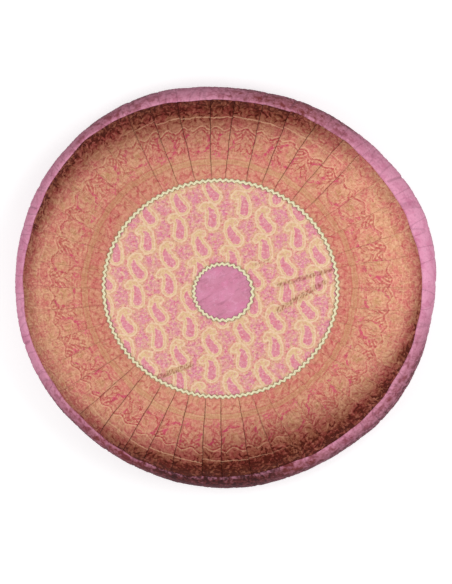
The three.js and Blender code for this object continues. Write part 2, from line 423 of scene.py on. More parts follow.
class Nodes:
    """A material's node tree"""

    def __init__(self, name):
        self.material = bpy.data.materials.new(name)
        self.material.use_nodes = True
        self.tree = self.material.node_tree
        self.tree.nodes.clear()
        self.output = self.tree.nodes.new("ShaderNodeOutputMaterial")

    def add(self, kind, settings, inputs, output=0):
        node = self.tree.nodes.new(kind)
        for key, value in settings.items():
            setattr(node, key, value)
        for key, value in inputs.items():
            if isinstance(value, Wire):
                self.tree.links.new(value.socket, node.inputs[key])
            else:
                node.inputs[key].default_value = value
        return Wire(self, node.outputs[output])

    def math(self, operation, *values):
        return self.add("ShaderNodeMath", {"operation": operation}, dict(enumerate(values)))

    def mix(self, share, first, second, how="MIX"):
        """The first colour where share is 0 and the second where it is 1"""
        settings = {"data_type": "RGBA", "blend_type": how, "clamp_factor": True}
        return self.add("ShaderNodeMix", settings, {0: share, 6: first, 7: second}, 2)

    def layered(self, base, *layers):
        """The base with colours laid over it in turn. A layer is its share and its colour."""
        for share, over in layers:
            base = self.mix(share, base, over)
        return base

    def split(self, vector):
        node = self.add("ShaderNodeSeparateXYZ", {}, {0: vector}).socket.node
        return [Wire(self, socket) for socket in node.outputs]

    def join(self, x, y):
        return self.add("ShaderNodeCombineXYZ", {}, {0: x, 1: y})

    def painted(self, name):
        return self.add("ShaderNodeAttribute", {"attribute_name": name}, {}, "Fac")

    def cloth_places(self):
        """The cloth's own flat places in millimetres"""
        across, along, _ = self.split(self.add("ShaderNodeUVMap", {"uv_map": "cloth"}, {}))
        return across / MM, along / MM

    def object_places(self):
        """The places on the object in millimetres, as one vector"""
        places = self.add("ShaderNodeTexCoord", {}, {}, "Object")
        scaling = {0: places, "Scale": 1 / MM}
        return self.add("ShaderNodeVectorMath", {"operation": "SCALE"}, scaling)

    def noise(self, places, length, detail=2.0, rough=0.5, bend=0.0):
        """Soft noise from 0 to 1 whose patches are about that long. The places are a vector, or
        its first two parts."""
        if isinstance(places, tuple):
            places = self.join(*places)
        inputs = {
            "Vector": places,
            "Scale": 1 / length,
            "Detail": detail,
            "Roughness": rough,
            "Distortion": bend,
        }
        return self.add("ShaderNodeTexNoise", {}, inputs, "Fac")

    def distance(self, across, along, at_across, at_along):
        aside = across - at_across
        ahead = along - at_along
        return (aside * aside + ahead * ahead).root()

    def turned(self, across, along, degrees):
        """The same place, measured from axes turned by so many degrees"""
        turn = math.radians(degrees)
        ahead = across * math.cos(turn) + along * math.sin(turn)
        aside = along * math.cos(turn) - across * math.sin(turn)
        return ahead, aside

    def leaf(self, across, along, half_length, half_width):
        """Below 0 inside a pointed leaf that lies across, about in millimetres"""
        share = across / half_length
        return abs(along) - half_width * (1 - share * share)

    def slanted_leaf(self, across, along, degrees, half_length, half_width):
        return self.leaf(*self.turned(across, along, degrees), half_length, half_width)

    def strokes(self, across, along, apart, half_length, half_width):
        """1 inside bent strokes strewn over the cloth, each at its own slant"""
        flat = {"voronoi_dimensions": "2D"}
        inputs = {"Vector": self.join(across, along), "Scale": 1 / apart, "Randomness": 0.9}
        middle = self.add("ShaderNodeTexVoronoi", flat, inputs, "Position")
        chance = self.add("ShaderNodeTexVoronoi", flat, inputs, "Color")
        middle_across, middle_along, _ = self.split(middle)
        slant = self.split(chance)[0] * FULL_TURN
        from_across = across - middle_across
        from_along = along - middle_along
        ahead = from_across * slant.cos() + from_along * slant.sin()
        aside = from_along * slant.cos() - from_across * slant.sin()
        bent = aside + ahead * ahead * 0.07 - 1
        return self.leaf(ahead, bent, half_length, half_width).fall(-0.3, 0.7)

    def cloth(self, base, roughness, height, strength, fixed):
        """Ends the tree in a cloth's shader. Height is in millimetres, and fixed holds the
        inputs that are the same all over."""
        relief = {"Strength": strength, "Distance": MM, "Height": height}
        bump = self.add("ShaderNodeBump", {}, relief)
        inputs = {"Base Color": base, "Roughness": roughness, "Normal": bump, **fixed}
        shader = self.add("ShaderNodeBsdfPrincipled", {}, inputs)
        self.tree.links.new(shader.socket, self.output.inputs["Surface"])
        return self.material


# Colours of the cloth and thread, and the sizes and lights that a user would change


def setting(name, description, default, **limits):
    return bpy.props.FloatProperty(name=name, description=description, default=default, **limits)


def length_setting(name, description, default, least, most):
    """The default and its limits are given in millimetres"""
    limits = {"min": least * MM, "max": most * MM, "unit": "LENGTH"}
    return setting(name, description, default * MM, **limits)


def angle_setting(name, description, degrees):
    return setting(name, description, math.radians(degrees), subtype="ANGLE")


def colour_setting(name, description, *parts):
    return bpy.props.FloatVectorProperty(
        name=name,
        description=description,
        subtype="COLOR",
        size=4,
        min=0,
        max=1,
        default=colour(*parts),
    )


class CushionColours(bpy.types.PropertyGroup):
    velvet: colour_setting("Velvet", "The side band", 231, 159, 188)
    velvet_deep: colour_setting("Velvet, crushed", "Where its pile lies over", 210, 127, 160)
    disc: colour_setting("Disc", "The velvet disc in the middle", 200, 130, 154)
    tan: colour_setting("Tan", "Gold weft of the tucked ring", 209, 154, 120)
    salmon: colour_setting("Salmon", "Gold and crimson woven together", 209, 124, 113)
    olive: colour_setting("Olive", "Gold weft over the dark warp", 186, 138, 96)
    crimson: colour_setting("Crimson", "The brocade's warp", 180, 62, 74)
    magenta: colour_setting("Magenta", "Accents in the medallions", 212, 76, 118)
    umber: colour_setting("Umber", "Dark threads of the tucked ring", 112, 56, 42)
    gold: colour_setting("Gold", "Stripes and lines in the ring", 230, 180, 146)
    pink: colour_setting("Pink", "Drops of the paisley", 216, 134, 160)
    rose: colour_setting("Rose", "Ground of the paisley", 216, 154, 134)
    straw: colour_setting("Straw", "Gold thread of the paisley", 220, 190, 140)
    cream: colour_setting("Cream", "Bands inside the paisley", 232, 200, 168)
    braid: colour_setting("Braid", "The zigzag braid", 252, 243, 204)
    back: colour_setting("Back", "The plain back cloth", 160, 96, 120)


class CushionSizes(bpy.types.PropertyGroup):
    cloth_thickness: length_setting("Cloth thickness", "Thickness of the brocades", 0.42, 0.2, 1.5)
    tuck_depth: length_setting("Tuck depth", "How far a tuck goes back under its fold", 4.5, 1, 8)
    pressure: setting("Filling", "Pressure of the filling against the cloth", 4, min=0, max=20)
    most_swell: length_setting("Most swell", "The furthest that the side's cloth may move", 6, 0, 12)


class StudioSettings(bpy.types.PropertyGroup):
    distance: setting("Camera distance", "From the cushion", 2.5, min=1, max=6, unit="LENGTH")
    lean_right: angle_setting("Camera to the right", "Its lean to the right of straight above", 4.2)
    lean_up: angle_setting("Camera to the top", "Its lean to the top of straight above", 3.3)
    millimetres_per_pixel: setting("Scale", "Millimetres for a pixel", 1.43, min=0.5, max=5)
    right_light: setting("Right softbox", "Its power", 16, min=0, subtype="POWER")
    left_light: setting("Left softbox", "Its power", 12.5, min=0, subtype="POWER")
    light_heading: angle_setting("Softbox heading", "The right one's turn from +X", 14)
    light_height: angle_setting("Softbox height", "How far they stand above the horizon", 48)
    surroundings: setting("Room light", "Brightness of the light from all round", 0.4, min=0)


def settings():
    return bpy.context.scene.cushion_colours, bpy.context.scene.cushion_sizes


# The filling: cloth under pressure, sewn down at both seams


FACE, SIDE, BACK = range(3)


def body_rows(face, side, back):
    """For each row of a body's points, its part of the body and its place on that part"""
    part = np.repeat([FACE, SIDE, BACK], [len(face), len(side), len(back)])
    return part, np.concatenate([face, side, back])


class Filling:
    """How far the filling moves the cloth from its evenly drawn shape"""

    face_rows = 26
    side_rows = 18
    back_rows = 8
    columns = 300
    frames = 20
    # How much bigger the side's cloth is cut than drawn, and the face's share of that
    side_ease = 0.045
    face_ease = 0.4
    face_swell_limit = 1.6

    def __init__(self):
        self.face = np.zeros((self.face_rows, self.columns))
        self.side = np.zeros((self.side_rows, self.columns, 3))

    def blow_up(self, pressure, most_swell):
        row_part, row_place = body_rows(
            np.linspace(0, 1, self.face_rows),
            np.linspace(0, 1, self.side_rows)[1:-1],
            np.linspace(1, 0.04, self.back_rows),
        )
        form = RoundMesh("filled_form", len(row_part), self.columns)
        form.move_to(body_places(row_part[form.row], row_place[form.row], form.turn, 0))
        form.paint("row", form.row)
        form.paint("column", form.column)
        form.finish()
        form.row = np.rint(form.painted("row")).astype(int)
        form.column = np.rint(form.painted("column")).astype(int)
        part = row_part[form.row]
        place = row_place[form.row]
        before = form.points() / MM - SHIFT
        body = bpy.data.objects.new("filled_form", form.mesh)
        bpy.context.scene.collection.objects.link(body)
        at_seam = (part != SIDE) & (place > 0.999)
        resting = (part == BACK) & (place < REST_SHARE + 0.1)
        sewn = body.vertex_groups.new(name="sewn")
        sewn.add(np.flatnonzero(at_seam | resting).tolist(), 1, "REPLACE")
        eased = body.vertex_groups.new(name="eased")
        eased.add(np.flatnonzero(part == SIDE).tolist(), 1, "REPLACE")
        eased.add(np.flatnonzero(part == FACE).tolist(), self.face_ease, "REPLACE")
        cloth = body.modifiers.new("Cloth", "CLOTH").settings
        cloth.quality = 6
        cloth.mass = 0.3
        cloth.tension_stiffness = 15
        cloth.compression_stiffness = 5
        cloth.shear_stiffness = 5
        cloth.bending_stiffness = 0.3
        cloth.vertex_group_mass = "sewn"
        cloth.vertex_group_shrink = "eased"
        cloth.shrink_min = 0
        cloth.shrink_max = -self.side_ease
        cloth.use_pressure = True
        cloth.uniform_pressure_force = pressure
        cloth.effector_weights.gravity = 0
        scene = bpy.context.scene
        for number in range(1, self.frames + 1):
            scene.frame_set(number)
        filled = body.evaluated_get(bpy.context.evaluated_depsgraph_get()).to_mesh()
        flat = np.empty(len(filled.vertices) * 3)
        filled.vertices.foreach_get("co", flat)
        moved = flat.reshape(-1, 3) / MM - SHIFT - before
        scene.frame_set(1)
        bpy.data.objects.remove(body)
        self.keep(form, part, moved, most_swell)

    def keep(self, form, part, moved, most_swell):
        """Keeps the moves, with the far ones softly held back to a limit"""
        on_face = part == FACE
        up = np.zeros((self.face_rows, self.columns))
        up[form.row[on_face], form.column[on_face]] = moved[on_face, 2]
        up[0, :] = up[0, 0]
        up -= up.mean(axis=1, keepdims=True)
        self.face = self.face_swell_limit * np.tanh(up / self.face_swell_limit)
        on_side = part == SIDE
        out = np.zeros((self.side_rows, self.columns, 3))
        out[form.row[on_side] - self.face_rows + 1, form.column[on_side]] = moved[on_side]
        length = np.linalg.norm(out, axis=2, keepdims=True)
        limit = most_swell / MM
        self.side = out * (limit * np.tanh(length / limit) / np.maximum(length, 1e-9))

    def looked_up(self, grid, row, turn):
        """The value between a grid's rows and columns"""
        column = np.mod(turn / FULL_TURN, 1) * self.columns
        low_row = np.clip(np.floor(row).astype(int), 0, len(grid) - 2)
        low_column = np.floor(column).astype(int) % self.columns
        next_column = (low_column + 1) % self.columns
        up = rise_between(row - low_row, 0, 1)
        on = rise_between(column - np.floor(column), 0, 1)
        if grid.ndim == 3:
            up = up[..., None]
            on = on[..., None]
        near = grid[low_row, low_column] * (1 - on) + grid[low_row, next_column] * on
        far = grid[low_row + 1, low_column] * (1 - on) + grid[low_row + 1, next_column] * on
        return near * (1 - up) + far * up

    def on_face(self, turn, share):
        return self.looked_up(self.face, share * (self.face_rows - 1), turn)

    def on_side(self, turn, share):
        return self.looked_up(self.side, share * (self.side_rows - 1), turn)


FILLING = Filling()


def face_places(turn, distance, offset):
    """Places on the filled face, lifted along its normal"""
    share = np.clip(distance / seam_radius(turn), 0, 1)
    return surface_point(face_height, turn, distance, offset + FILLING.on_face(turn, share))


def side_places(turn, share):
    """Places on the evenly drawn side, from the face seam at 0 to the back seam at 1"""
    radius = seam_radius(turn)
    start = radius + SEAM_GAP
    face_seam = surface_point(face_height, turn, radius, 0 * turn)[..., 2] - 1.2 * SEAM_GAP
    back_seam = surface_point(back_height, turn, radius, 0 * turn)[..., 2] + SEAM_GAP * 0.3
    swing = math.pi * share
    x, y = spot(turn, start + (side_radius(turn) - start) * np.sin(swing))
    height = (face_seam + back_seam) / 2 + (face_seam - back_seam) / 2 * np.cos(swing)
    return np.stack([x, y, height], axis=-1)


def body_places(part, place, turn, inset):
    """Places on the body's cloth, drawn in by inset under the sheets"""
    radius = place * seam_radius(turn)
    face = surface_point(face_height, turn, radius, 0 * turn - inset)
    back = surface_point(back_height, turn, radius, 0 * turn + inset)
    side = side_places(turn, place)
    part = part[..., None]
    return np.where(part == FACE, face, np.where(part == SIDE, side, back))


# How dark the cloth looks where it turns away from the side lights. The depth of the shade at the
# seam, and how far in it reaches in millimetres, swell and fade round the cushion.

RING_SHADE = 0.75
RING_SHADE_SWELLS = [
    Swell(1, 0.05, -117),
    Swell(2, 0.32, -70),
    Swell(3, 0.05, -11),
    Swell(4, 0.13, -16),
    Swell(5, 0.04, 2),
]
RING_SHADE_MOST = 0.86
# How much deeper the seam's shade may get on the front than elsewhere
FRONT_SHADE = 0.05
FRONT_SHADE_AT = math.radians(284)
RING_SHADE_REACH = 37.8
RING_REACH_SWELLS = [Swell(1, 5.5, -94), Swell(2, 25, -76), Swell(3, 2.9, -59), Swell(4, 2.3, 16)]

VELVET_SHADE = 0.44
VELVET_SHADE_SWELLS = [
    Swell(1, 0.17, -92),
    Swell(2, 0.32, 90),
    Swell(4, 0.1, -28),
    Swell(5, 0.08, -13),
    Swell(7, 0.06, 22),
    Swell(8, 0.03, -20),
]
# The velvet is darkest over a short stretch of the front
VELVET_FRONT_SHADE = 0.25
VELVET_FRONT_AT = math.radians(268)
VELVET_FRONT_REACH = math.radians(12)

# What is left of the cloth's colour in full shade, where light comes only off the cloth round it
RING_IN_SHADE = (0.22, 0.01, 0, 1)
VELVET_IN_SHADE = (0.24, 0.08, 0.02, 1)

# The further the shade reaches in, the more suddenly it ends
SHADE_POWER = 1.6
SHADE_POWER_REACH = 50
LEFT_SHADE = 0.08

# The tucks stand up and show most near this direction and the opposite one
TUCKS_SHOW_AT = math.radians(77)
TUCKS_SHOW_LEAN = math.radians(6)


def ring_shade(turn, inward):
    depth = outline_radius(RING_SHADE, RING_SHADE_SWELLS, turn)
    reach = outline_radius(RING_SHADE_REACH, RING_REACH_SWELLS, turn)
    power = SHADE_POWER + reach / SHADE_POWER_REACH
    most = RING_SHADE_MOST + FRONT_SHADE * rise_between(np.cos(turn - FRONT_SHADE_AT), 0.5, 0.95)
    by_seam = np.clip(depth, 0, most) * np.exp(-((np.maximum(inward, 0) / reach) ** power))
    return np.maximum(by_seam, LEFT_SHADE * np.clip(-np.cos(turn), 0, 1))


def velvet_shade(turn):
    from_front = np.angle(np.exp(1j * (turn - VELVET_FRONT_AT)))
    front = VELVET_FRONT_SHADE * np.exp(-((from_front / VELVET_FRONT_REACH) ** 2))
    return np.clip(outline_radius(VELVET_SHADE, VELVET_SHADE_SWELLS, turn) + front, 0, 1)


def tucks_show(turn):
    at = TUCKS_SHOW_AT + TUCKS_SHOW_LEAN * np.sin(turn)
    return rise_between(np.cos(2 * (turn - at)), -0.1, 0.8)


# The distance along the cloth from the seam, by share of the seam's radius

ARC_SHARES = np.linspace(1, 0, 400)
ARC_HEIGHTS = face_height(ARC_SHARES * float(seam_radius(0.0)), 0 * ARC_SHARES)
ARC_STEPS = np.hypot(np.diff(ARC_SHARES * SEAM_RADIUS), np.diff(ARC_HEIGHTS))
ARC_LENGTHS = np.concatenate([[0], np.cumsum(ARC_STEPS)])


def inward_along_cloth(turn, distance):
    share = distance / seam_radius(turn)
    return np.interp(1 - share, 1 - ARC_SHARES, ARC_LENGTHS)


# Velvet side


VELVET_CREASES = 46
VelvetCrease = namedtuple("VelvetCrease", "turn lean depth half_width reach")


def strayed(number, step, start=0.0):
    """From 0 to 1, and as uneven from one number to the next as handwork"""
    return 0.5 + 0.5 * math.sin(number * step + start)


def velvet_creases():
    """Creases across the band, as uneven as the filling leaves them"""
    creases = []
    for number in range(VELVET_CREASES):
        stray = strayed(number, 12.9) + strayed(number, 4.7) - 1
        turn = FULL_TURN * (number + 0.42 * stray) / VELVET_CREASES
        lean = 0.1 * strayed(number, 7.3, 1) - 0.05
        depth = 0.4 + 0.8 * strayed(number, 5.1) ** 2
        half_width = 1.5 + strayed(number, 3.3, 2)
        reach = 0.35 + 0.35 * strayed(number, 9.7)
        creases.append(VelvetCrease(turn, lean, depth, half_width, reach))
    return creases


def velvet_crease_depth(turn, share):
    depth = 0
    for crease in velvet_creases():
        apart = np.mod(turn - crease.turn - crease.lean * share + math.pi, FULL_TURN) - math.pi
        across = np.exp(-((apart * SIDE_RADIUS / crease.half_width) ** 2))
        ended = rise_between(share, crease.reach, crease.reach + 0.25)
        depth = depth + crease.depth * across * rise_between(share, 0, 0.06) * (1 - ended)
    return depth


VELVET_COLUMNS = 1000
VELVET_SIDE_ROWS = 42
VELVET_FACE_PLACES = (0, 0.3, 0.5, 0.65, 0.8, 0.9, 0.96, 1)
VELVET_BACK_PLACES = (1, 0.94, 0.86, REST_SHARE, 0.5, 0)
VELVET_LOWEST = 0.4
PILE_UNEVENNESS = 0.45
PILE_SEED = 11
SIDE_LENGTH = 110
# Where the velvet rolls out of the light, as a share of the way down the side
FAR_EDGE = 0.2
FAR_EDGE_LEAN = 0.05
FAR_EDGE_SHADE = 0.92
SEAM_BEAD = 0.8
SEAM_BEAD_REACH = 0.05


def make_velvet_side():
    down_side = np.linspace(0, 1, VELVET_SIDE_ROWS)
    row_part, row_place = body_rows(VELVET_FACE_PLACES, down_side, VELVET_BACK_PLACES)
    band = RoundMesh("velvet_band", len(row_part), VELVET_COLUMNS)
    part = row_part[band.row]
    place = row_place[band.row]
    places = body_places(part, place, band.turn, UNDER_SHEETS)
    on_side = part == SIDE
    share = place[on_side]
    turn = band.turn[on_side]
    crease = velvet_crease_depth(turn, share)
    outward = np.stack([*spot(turn, 1), 0 * turn], axis=-1)
    upward = np.cos(math.pi * share)
    middle = np.sin(math.pi * share)
    normal = outward * middle[:, None] + np.array([0, 0, 1]) * upward[:, None]
    by_face = np.exp(-((share / SEAM_BEAD_REACH) ** 2))
    by_back = np.exp(-(((1 - share) / SEAM_BEAD_REACH) ** 2))
    bead = SEAM_BEAD * (by_face + by_back)
    pile = np.random.default_rng(PILE_SEED).uniform(-1, 1, (len(row_part), VELVET_COLUMNS))
    pile = PILE_UNEVENNESS * pile[band.row[on_side], band.column[on_side]] * middle
    places[on_side] += FILLING.on_side(turn, share) + normal * (bead - crease + pile)[:, None]
    places[:, 2] = np.maximum(places[:, 2], VELVET_LOWEST)
    creased = np.zeros(len(part))
    creased[on_side] = crease
    down = np.zeros(len(part))
    down[on_side] = share
    rolls_at = FAR_EDGE + FAR_EDGE_LEAN * np.sin(band.turn)
    rolled = rise_between(down, rolls_at, rolls_at + 0.12) * (1 - rise_between(down, 0.42, 0.64))
    shade = velvet_shade(band.turn)
    band.paint("crease", creased)
    band.paint("down_side", down)
    band.paint("turned_away", FAR_EDGE_SHADE * rolled * rise_between(shade, 0.2, 0.5))
    band.paint("shade", shade)
    band.map_cloth(band.turn * SIDE_RADIUS, down * SIDE_LENGTH, FULL_TURN * SIDE_RADIUS)
    band.move_to(places)
    return band.finish()


def velvet_material(name, pile, crushed, on_side):
    """Pile that catches the light where it lies over, with crush marks and fine nap"""
    nodes = Nodes(name)
    places = nodes.object_places()
    broad = nodes.noise(places, 42, 2, 0.5, 0.6)
    patches = nodes.noise(places, 12, 3, 0.6, 0.3)
    crushes = nodes.noise(places, 6, 3, 0.65, 0.3)
    fine = nodes.noise(places, 3, 2, 0.6)
    deep = colour(74, 24, 40)
    crushed_share = broad.rise(0.44, 0.68) * 0.4 + patches.rise(0.48, 0.6) * 0.5
    base = nodes.layered(
        pile,
        (crushed_share, crushed),
        (crushes.rise(0.52, 0.66) * 0.3, colour(240, 178, 206)),
        (fine.rise(0.5, 0.68) * 0.14, deep),
    )
    height = fine * 0.5 + crushes * 0.7 + patches * 0.8
    if on_side:
        around, down_cloth = nodes.cloth_places()
        crinkle = nodes.noise((around / 30, down_cloth / 160), 1, 1, 0.5, 0.3) - 0.5
        crease = nodes.painted("crease").rise(0.3, 1.2).most(crinkle.line(0.003, 0.016) * 0.6)
        height = height - crease
        down = nodes.painted("down_side")
        # Painted shade: darker in the creases and on the lower part of the side
        base = nodes.layered(base, (crease * 0.3, deep), (down.rise(0.36, 0.5) * 0.4, deep))
        shade = nodes.painted("shade")
        lying = shade * (1 - down.rise(0.35, 0.62) * 0.85)
        # A painted highlight lightens the velvet in a thin line along the face seam
        uneven = (crushes - 0.5) * 1.1 + (fine - 0.5) * 0.5 - down.fall(0.02, 0.1) * 0.4
        uneven = uneven + patches.rise(0.44, 0.68) * shade.rise(0.1, 0.5) * 0.5
        turned_away = nodes.painted("turned_away") * (0.5 + crushes.rise(0.38, 0.58) * 0.5)
        shade = (lying * (1 + uneven)).most(turned_away).least(0.92)
        base = nodes.mix(shade, base, VELVET_IN_SHADE, "MULTIPLY")
        deepest = lying.rise(0.74, 0.95).most(turned_away * 0.85)
        deepest = deepest * (0.35 + crushes.rise(0.42, 0.58) * 0.45)
        base = nodes.mix(deepest, base, colour(22, 15, 12))
    else:
        right, up = nodes.turned(*nodes.cloth_places(), 28)
        handled = nodes.noise((right / 34, up / 16), 1, 1, 0.5, 0.3)
        streaks = nodes.noise((right / 24 + 4, up / 5), 1, 2, 0.5, 0.2)
        base = nodes.layered(
            base,
            (handled.rise(0.4, 0.64) * 0.3, colour(222, 152, 182)),
            (streaks.rise(0.54, 0.74) * 0.22, deep),
        )
    fixed = {
        "Sheen Weight": 0.2,
        "Sheen Roughness": 0.45,
        "Sheen Tint": colour(244, 186, 208),
        "Specular IOR Level": 0.1,
    }
    return nodes.cloth(base, 0.85 - 0.12 * crushed_share, height, 0.6, fixed)


class CUSHION_OT_filling(bpy.types.Operator):
    """Blow up the cushion's cloth with its filling, sewn down at both seams"""

    bl_idname = "cushion.filling"
    bl_label = "Fill Cushion"

    def execute(self, context):
        _, sizes = settings()
        FILLING.blow_up(sizes.pressure, sizes.most_swell)
        return {"FINISHED"}


class CUSHION_OT_velvet_side(bpy.types.Operator):
    """Sew the velvet side round the filled body"""

    bl_idname = "cushion.velvet_side"
    bl_label = "Velvet Side"

    def execute(self, context):
        colours, _ = settings()
        material = velvet_material("Crushed velvet", colours.velvet, colours.velvet_deep, True)
        band = put_in_scene(make_velvet_side(), material, "crushed_velvet", "velvet_side")
        return {"FINISHED"}


# Tucked ring


# One tuck from the valley under the fold before it to the underside of its own fold: how far
# along the part that shows, how much of the tuck's depth lies back under a fold, and how much
# of the tuck's height it has
PleatPoint = namedtuple("PleatPoint", "along back rise")
PLEAT = [
    PleatPoint(0, 1, 0),
    PleatPoint(0, 0.35, 0),
    PleatPoint(0, 0, 0.02),
    PleatPoint(0.05, 0, 0.12),
    PleatPoint(0.14, 0, 0.3),
    PleatPoint(0.27, 0, 0.46),
    PleatPoint(0.42, 0, 0.6),
    PleatPoint(0.57, 0, 0.72),
    PleatPoint(0.72, 0, 0.84),
    PleatPoint(0.85, 0, 0.94),
    PleatPoint(0.94, 0, 1),
    PleatPoint(0.985, 0, 1),
    PleatPoint(1, 0, 0.86),
    PleatPoint(1, 0.05, 0.68),
    PleatPoint(1, 0.5, 0.46),
    PleatPoint(1, 0.95, 0.25),
]
RING_ROWS = 50
# The rows past the seam, where the cloth's edge is turned in: how far down and how far out
RING_EDGE_DROPS = [0, 0.5, 1.2, 1.9]
RING_EDGE_OUT = [0, 0.15, 0.1, -0.1]
RING_INNER_SHARE = OUTER_JOIN.half_x / SEAM_RADIUS
RING_PAST_JOIN = 0.3
LEAST_TUCK_DEPTH = 0.5
MOST_FOLD_DISTANCE = 30
# Between which distances from the join the tucks come to their full depth and height
TUCKS_DEEPEN = (3, 22)
TUCKS_STAND_UP = (2, 16)

# How a fold's line trembles: by how many degrees, how fast along it and from tuck to tuck
Tremble = namedtuple("Tremble", "degrees along step")
TREMBLES = [Tremble(0.08, 31, 2.3), Tremble(0.05, 67, 5.1)]


def tuck_turn(number, share):
    """Tucks are numbered from the first. Their angles drift and stray as a hand lays them."""
    tuck = np.mod(number, TUCK_COUNT)
    whole_turns = np.floor_divide(number, TUCK_COUNT)
    even = 360 * tuck / TUCK_COUNT
    drift = TUCK_DRIFT * (1 - np.cos(np.radians(even)))
    stray = TUCK_UNEVENNESS * np.sin(TUCK_UNEVENNESS_STEP * tuck)
    lean = TUCK_LEAN * np.sin(TUCK_LEAN_STEP * tuck) * (share - TUCK_LEAN_PIVOT)
    trembled = sum(t.degrees * np.sin(t.along * share + t.step * tuck) for t in TREMBLES)
    return np.radians(FIRST_TUCK + even + drift + stray + lean + trembled) + whole_turns * FULL_TURN


def make_ring(depth):
    columns = TUCK_COUNT * len(PLEAT)
    ring = RoundMesh("tucked_ring", RING_ROWS + len(RING_EDGE_DROPS) - 1, columns)
    tuck = ring.column // len(PLEAT)
    along, back, rise = np.array(PLEAT)[ring.column % len(PLEAT)].T
    out = np.clip(ring.row / (RING_ROWS - 1), 0, 1)
    out = 0.55 * out + 0.45 * (0.5 - 0.5 * np.cos(math.pi * out))
    rough_share = RING_INNER_SHARE + (1 - RING_INNER_SHARE) * out
    low = tuck_turn(tuck, rough_share)
    high = tuck_turn(tuck + 1, rough_share)
    even_turn = low + (high - low) * along
    start = join_radius(OUTER_JOIN, even_turn) - RING_PAST_JOIN
    end = seam_radius(even_turn)
    distance = start + (end - start) * out
    width = (high - low) * distance

    # The tucks are laid flatter by the braid and where they don't show
    show = tucks_show(even_turn)
    from_braid = rise_between(distance - start, *TUCKS_DEEPEN)
    tuck_depth = np.clip((STRIP_PER_TUCK - width) / 2, LEAST_TUCK_DEPTH, depth)
    eased = from_braid * (0.1 + 0.9 * show)
    tuck_depth = LEAST_TUCK_DEPTH + (tuck_depth - LEAST_TUCK_DEPTH) * eased
    turn = even_turn - back * tuck_depth / distance
    show = tucks_show(turn)
    held = rise_between(distance - start, *TUCKS_STAND_UP) * (0.03 + 0.97 * show)
    at_seam = 1 - 0.45 * rise_between(out, 0.93, 1)
    low_height = TUCK_LOW * (0.25 + 0.75 * held)
    high_height = TUCK_HIGH * (0.12 + 0.88 * held) * at_seam
    puff = 0.5 * np.sin(math.pi * along) * (back == 0) * held
    lift = low_height + (high_height - low_height) * rise + puff
    past_seam = np.maximum(ring.row - (RING_ROWS - 1), 0)
    lift = lift * np.where(past_seam > 0, 0.6, 1) - np.array(RING_EDGE_DROPS)[past_seam]
    ring.move_to(face_places(turn, distance + np.array(RING_EDGE_OUT)[past_seam], lift))

    # The cloth's flat places, laid in a little unevenly from tuck to tuck
    middle = (low + high) / 2
    inward = inward_along_cloth(middle, distance * np.cos(turn - middle))
    hidden = back * tuck_depth * np.where(along > 0.5, 1, -1)
    across = STRIP_PER_TUCK * tuck + distance * np.sin(even_turn - middle) + hidden
    laid_in = 1.4 * np.sin(tuck * 2.9 + 0.7) + 0.9 * np.sin(tuck * 5.3)
    laid_askew = 0.035 * np.sin(tuck * 3.7 + 1.1) * distance * np.sin(turn - middle)
    strays = (laid_in + laid_askew) * show
    ring.map_cloth(across, inward + strays, STRIP_PER_TUCK * TUCK_COUNT)
    beside = np.where(back > 0, 0, along * width)
    beside = np.where(along > 0.5, np.minimum(beside, MOST_FOLD_DISTANCE), beside)
    ring.paint("beside_fold", beside)
    ring.paint("tucks_show", show * (0.45 + 0.55 * from_braid))
    ring.paint("shade", ring_shade(turn, inward))
    return ring.finish(facing=1)


FIELD_REPEAT = 56
FIELD_MIDDLE = 68


